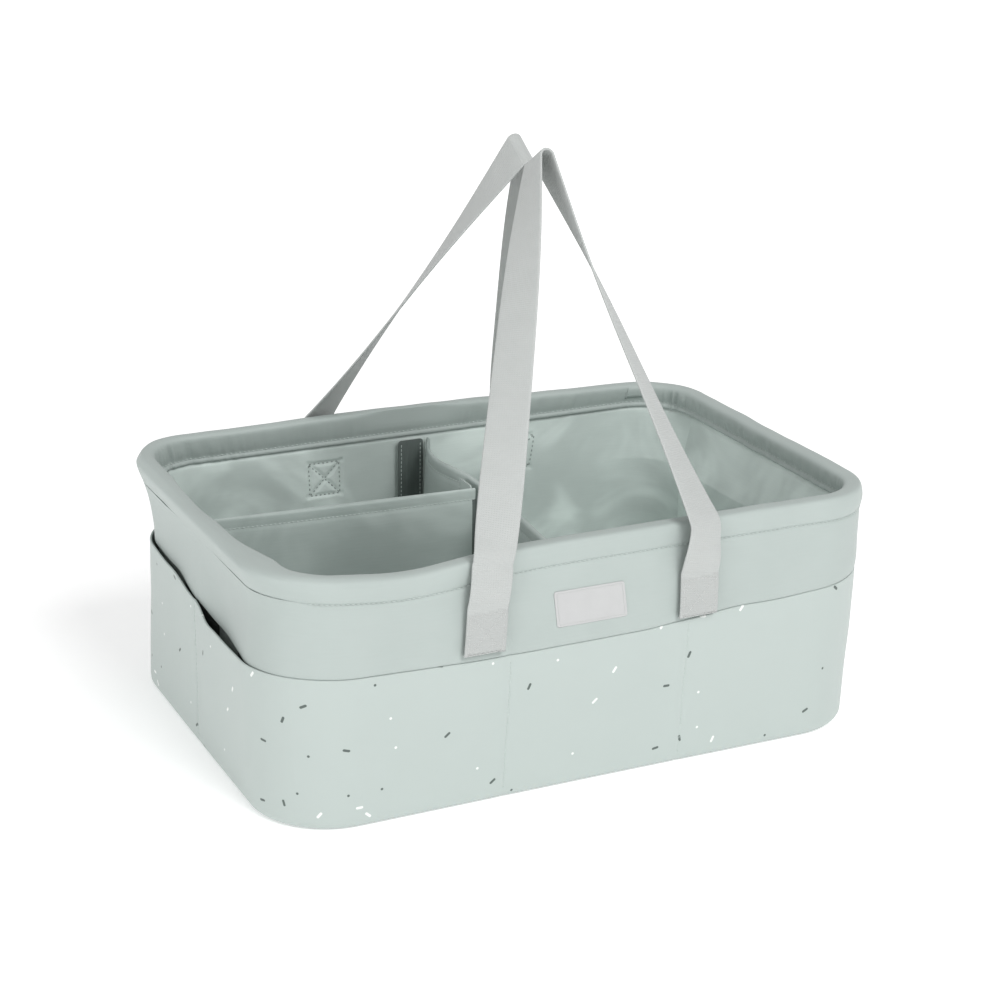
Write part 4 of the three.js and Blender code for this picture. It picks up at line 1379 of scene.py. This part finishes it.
# %% Legs and whole routes
def leg(word, hand, top, turn_hand):
    """Stops from the turned-under end up to the crest: point, share of the quarter turn, hand."""
    foot_x, start_turn = sewn_x[word, hand], START_TURN[word, hand]
    fold = (OVER_OUT - UNDER_OUT) / 2
    fold_z = SEWN_FOOT + WEB_THICK / 2 + fold
    corner = on_plane(foot_x + RIM_SHIFT[word, hand], 0)
    corner.y -= WEB_HALF * math.sin(start_turn * math.pi / 2)
    below = corner - Vector((0, 0, RIM_BEND))

    def x_at(z):
        return slanted_x(word, hand, z)

    stops = []
    for z in span(SEWN_TOP - 2 * MM, fold_z, 8):
        stops.append((Vector((x_at(z), sewn_y(word, foot_x, z, UNDER_OUT), z)), 0))
    for a in span(0, math.pi, 10)[1:]:
        y = sewn_y(word, foot_x, fold_z, (UNDER_OUT + OVER_OUT) / 2 - fold * math.cos(a))
        stops.append((Vector((x_at(fold_z), y, fold_z - fold * math.sin(a))), 0))
    sewn_top_y = sewn_y(word, foot_x, SEWN_TOP, OVER_OUT)
    for t in span(0, 1, 34)[1:]:
        z = fold_z + (below.z - fold_z) * t
        free = min(1, max(0, (z - SEWN_TOP) / (below.z - SEWN_TOP)))
        y = sewn_y(word, foot_x, z, OVER_OUT) if free == 0 else sewn_top_y + (below.y - sewn_top_y) * free
        y -= 1.2 * MM * math.sin(math.pi * free)
        stops.append((Vector((x_at(z), y, z)), start_turn * step_between(free, 0.1, 1)))
    below = stops[-1][0]
    above = corner + (top - corner).normalized() * RIM_BEND
    for t in span(0, 1, 8)[1:]:
        stops.append((below.lerp(corner, t).lerp(corner.lerp(above, t), t), start_turn))
    for t in span(0, 1, 80)[1:]:
        turn = t ** TWIST_EASE
        turn += 0.07 * math.sin(TURN * turn) + start_turn * (1 - t) ** 3
        stops.append((above.lerp(top, t), turn))
    return [(point, turn, turn_hand) for point, turn in stops]


def handle_route(word):
    top_x = crest_x[word]
    feet = {hand: sewn_x[word, hand] + RIM_SHIFT[word, hand] for hand in ("left", "right")}
    left_angle, right_angle = touch_angle(feet["left"], top_x) + TURN, touch_angle(feet["right"], top_x)
    crest = [
        on_plane(top_x + CREST_BEND * math.cos(a), CREST_CLIMB + CREST_BEND * math.sin(a))
        for a in span(left_angle, right_angle, 20)
    ]
    fold = [(point, 1, 1) for point in crest[1:-1]]
    return leg(word, "left", crest[0], 1) + fold + leg(word, "right", crest[-1], -1)[::-1]


routes = {word: handle_route(word) for word in ("front", "back")}
for word, route in routes.items():
    print(word, "webbing", round(distances([stop[0] for stop in route])[-1], 3), "m long")

# %% Handles
web_edge = [(1, 0), (0.985, 0.6), (0.95, 0.92)]
web_section = web_edge + [(w, 1) for w in span(0.9, -0.9, 8)] + [(-w, t) for w, t in reversed(web_edge)]
web_section += [(w, -t) for w, t in reversed(web_section[1:-1])]
TUCKED_SHARE = 0.62
TUCKED_STOPS = 8
WHOLE_STOPS = 13


def handle(name, nodes, route, side):
    line = [stop[0] for stop in route]
    sections = []
    for i, (point, turn, hand) in enumerate(route):
        ahead = way_at(line, i)
        flat = (Vector((1, 0, 0)) - ahead * ahead.x).normalized()
        angle = turn * math.pi / 2
        across = flat * (hand * math.cos(angle)) - square_way * math.sin(angle)
        face = across.cross(ahead).normalized()
        whole = step_between(min(i, len(route) - 1 - i), TUCKED_STOPS, WHOLE_STOPS)
        wide = WEB_HALF * (TUCKED_SHARE + (1 - TUCKED_SHARE) * whole)
        section = []
        for w, t in web_section:
            place = point + across * (w * wide) + face * (t * WEB_THICK / 2)
            section.append(Vector((place.x, -side * place.y, place.z)))
        sections.append(section)
    made = loft(name, sections, webbing)

    def sewn_down(polygon):
        return max(made.data.vertices[v].co.z for v in polygon.vertices) < SEWN_TOP - 1 * MM

    second_finish(made, pressed_webbing, sewn_down)
    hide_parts(*nodes)
    length = distances(line)[-1]
    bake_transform(made)
    return made


for word, side in (("front", -1), ("back", 1)):
    nodes = [f"handle_{word}_strap", f"handle_end_{word}_left", f"handle_end_{word}_right"]
    handle(f"{word}_handle_webbing", nodes, routes[word], side)
    for hand in ("left", "right"):
        def on_webbing(dx, dz, word=word, hand=hand, side=side):
            z = SEWN_Z - 1 * MM + dz * 0.93
            y = sewn_y(word, sewn_x[word, hand], z, OVER_OUT + WEB_THICK / 2)
            return Vector((slanted_x(word, hand, z) + dx, -side * y, z)), Vector((0, side, 0))

        name = f"handle_box_{word}_{hand}"
        stitches(name, box_runs(on_webbing), thread_grey, "tub", pitch=2.6 * MM, thick=0.26 * MM)
print("two handles, four sewn ends")

# %% [markdown]
# ## The patch over the rim's join
# The rim's cloth starts and ends near the back right corner, under a small patch that is folded
# over the roll. It follows the rim's own outline, a little further out.

# %% Rim patch
PATCH_CLOTH = 0.3 * MM
patch_alongs = span(BEND_RUN * 0.75, BEND_RUN, 16)
over_roll = hem_line[9 * HEM_STEPS:15 * HEM_STEPS - 1]
outside, inside = [], []
for i, point in enumerate(over_roll):
    ahead = way_at(over_roll, i)
    normal = Vector((ahead.y, -ahead.x))
    outside.append(point + normal * (PATCH_CLOTH + 0.35 * MM))
    inside.append(point - normal * 0.2 * MM)
patch_line = outside + inside[::-1]
sections = [[wall_point(along, p.x, p.y) for p in patch_line] for along in patch_alongs]
rim_patch = loft("rim_patch_cloth", sections, sage)
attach(rim_patch, "tub")
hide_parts("rim_join_tab")
print("rim patch folded over")

# %% [markdown]
# ## What stays from the CAD model
# The base board is closed in on all sides and its CAD shape is right. It keeps that shape and only
# takes a finish.

# %% CAD nodes that stay
for name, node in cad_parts.items():
    if not node.hide_render:
        node.data.materials.clear()
        node.data.materials.append(board)
        print("kept", name)

# %% [markdown]
# ## Floor and light
# A plain white floor, a bright even sky, a large soft lamp in front on the right and a weaker one on
# the left that lifts the shaded end: the light of a product picture. The shadows are soft inside the
# tub and faint on the floor, because the paper glows a little, and more so further out.

# %% Stage
floor = bpy.data.objects.new("floor", bpy.data.meshes.new("floor"))
floor.data.from_pydata([(-9, -9, 0), (9, -9, 0), (9, 9, 0), (-9, 9, 0)], [], [(0, 1, 2, 3)])
bpy.context.collection.objects.link(floor)
paper = grainy("white_paper", (0.97, 0.97, 0.97), (0.96, 0.96, 0.96), 40, 0.9)
paper_shader = paper.node_tree.nodes["Principled BSDF"]
spot = Strand(paper.node_tree).node("ShaderNodeTexCoord", {}, {}, "Object")
reach = spot.node("ShaderNodeVectorMath", {"operation": "LENGTH"}, {0: spot}, out="Value")
feed(paper_shader, Emission_Color=reach.ramp(0.4, 1.6).mix((0.3, 0.3, 0.3, 1), (0.64, 0.64, 0.64, 1)))
paper_shader.inputs["Emission Strength"].default_value = 1
floor.data.materials.append(paper)
floor.location.z = -0.0002

world = bpy.data.worlds.new("studio")
bpy.context.scene.world = world
world.use_nodes = True
world.node_tree.nodes["Background"].inputs["Color"].default_value = (1, 1, 1, 1)
world.node_tree.nodes["Background"].inputs["Strength"].default_value = 0.55


def soft_lamp(name, at, size, power):
    lamp = bpy.data.lights.new(name, "AREA")
    lamp.shape = "DISK"
    lamp.size = size
    lamp.energy = power
    made = bpy.data.objects.new(name, lamp)
    bpy.context.collection.objects.link(made)
    made.location = at
    made.rotation_euler = (Vector((0, 0, 0.12)) - Vector(at)).to_track_quat("-Z", "Y").to_euler()
    return made


soft_lamp("key", (0.4, -1.85, 2.0), 1.3, 38)
soft_lamp("fill", (-2.0, -0.7, 0.6), 1.0, 10)
print("stage lit")
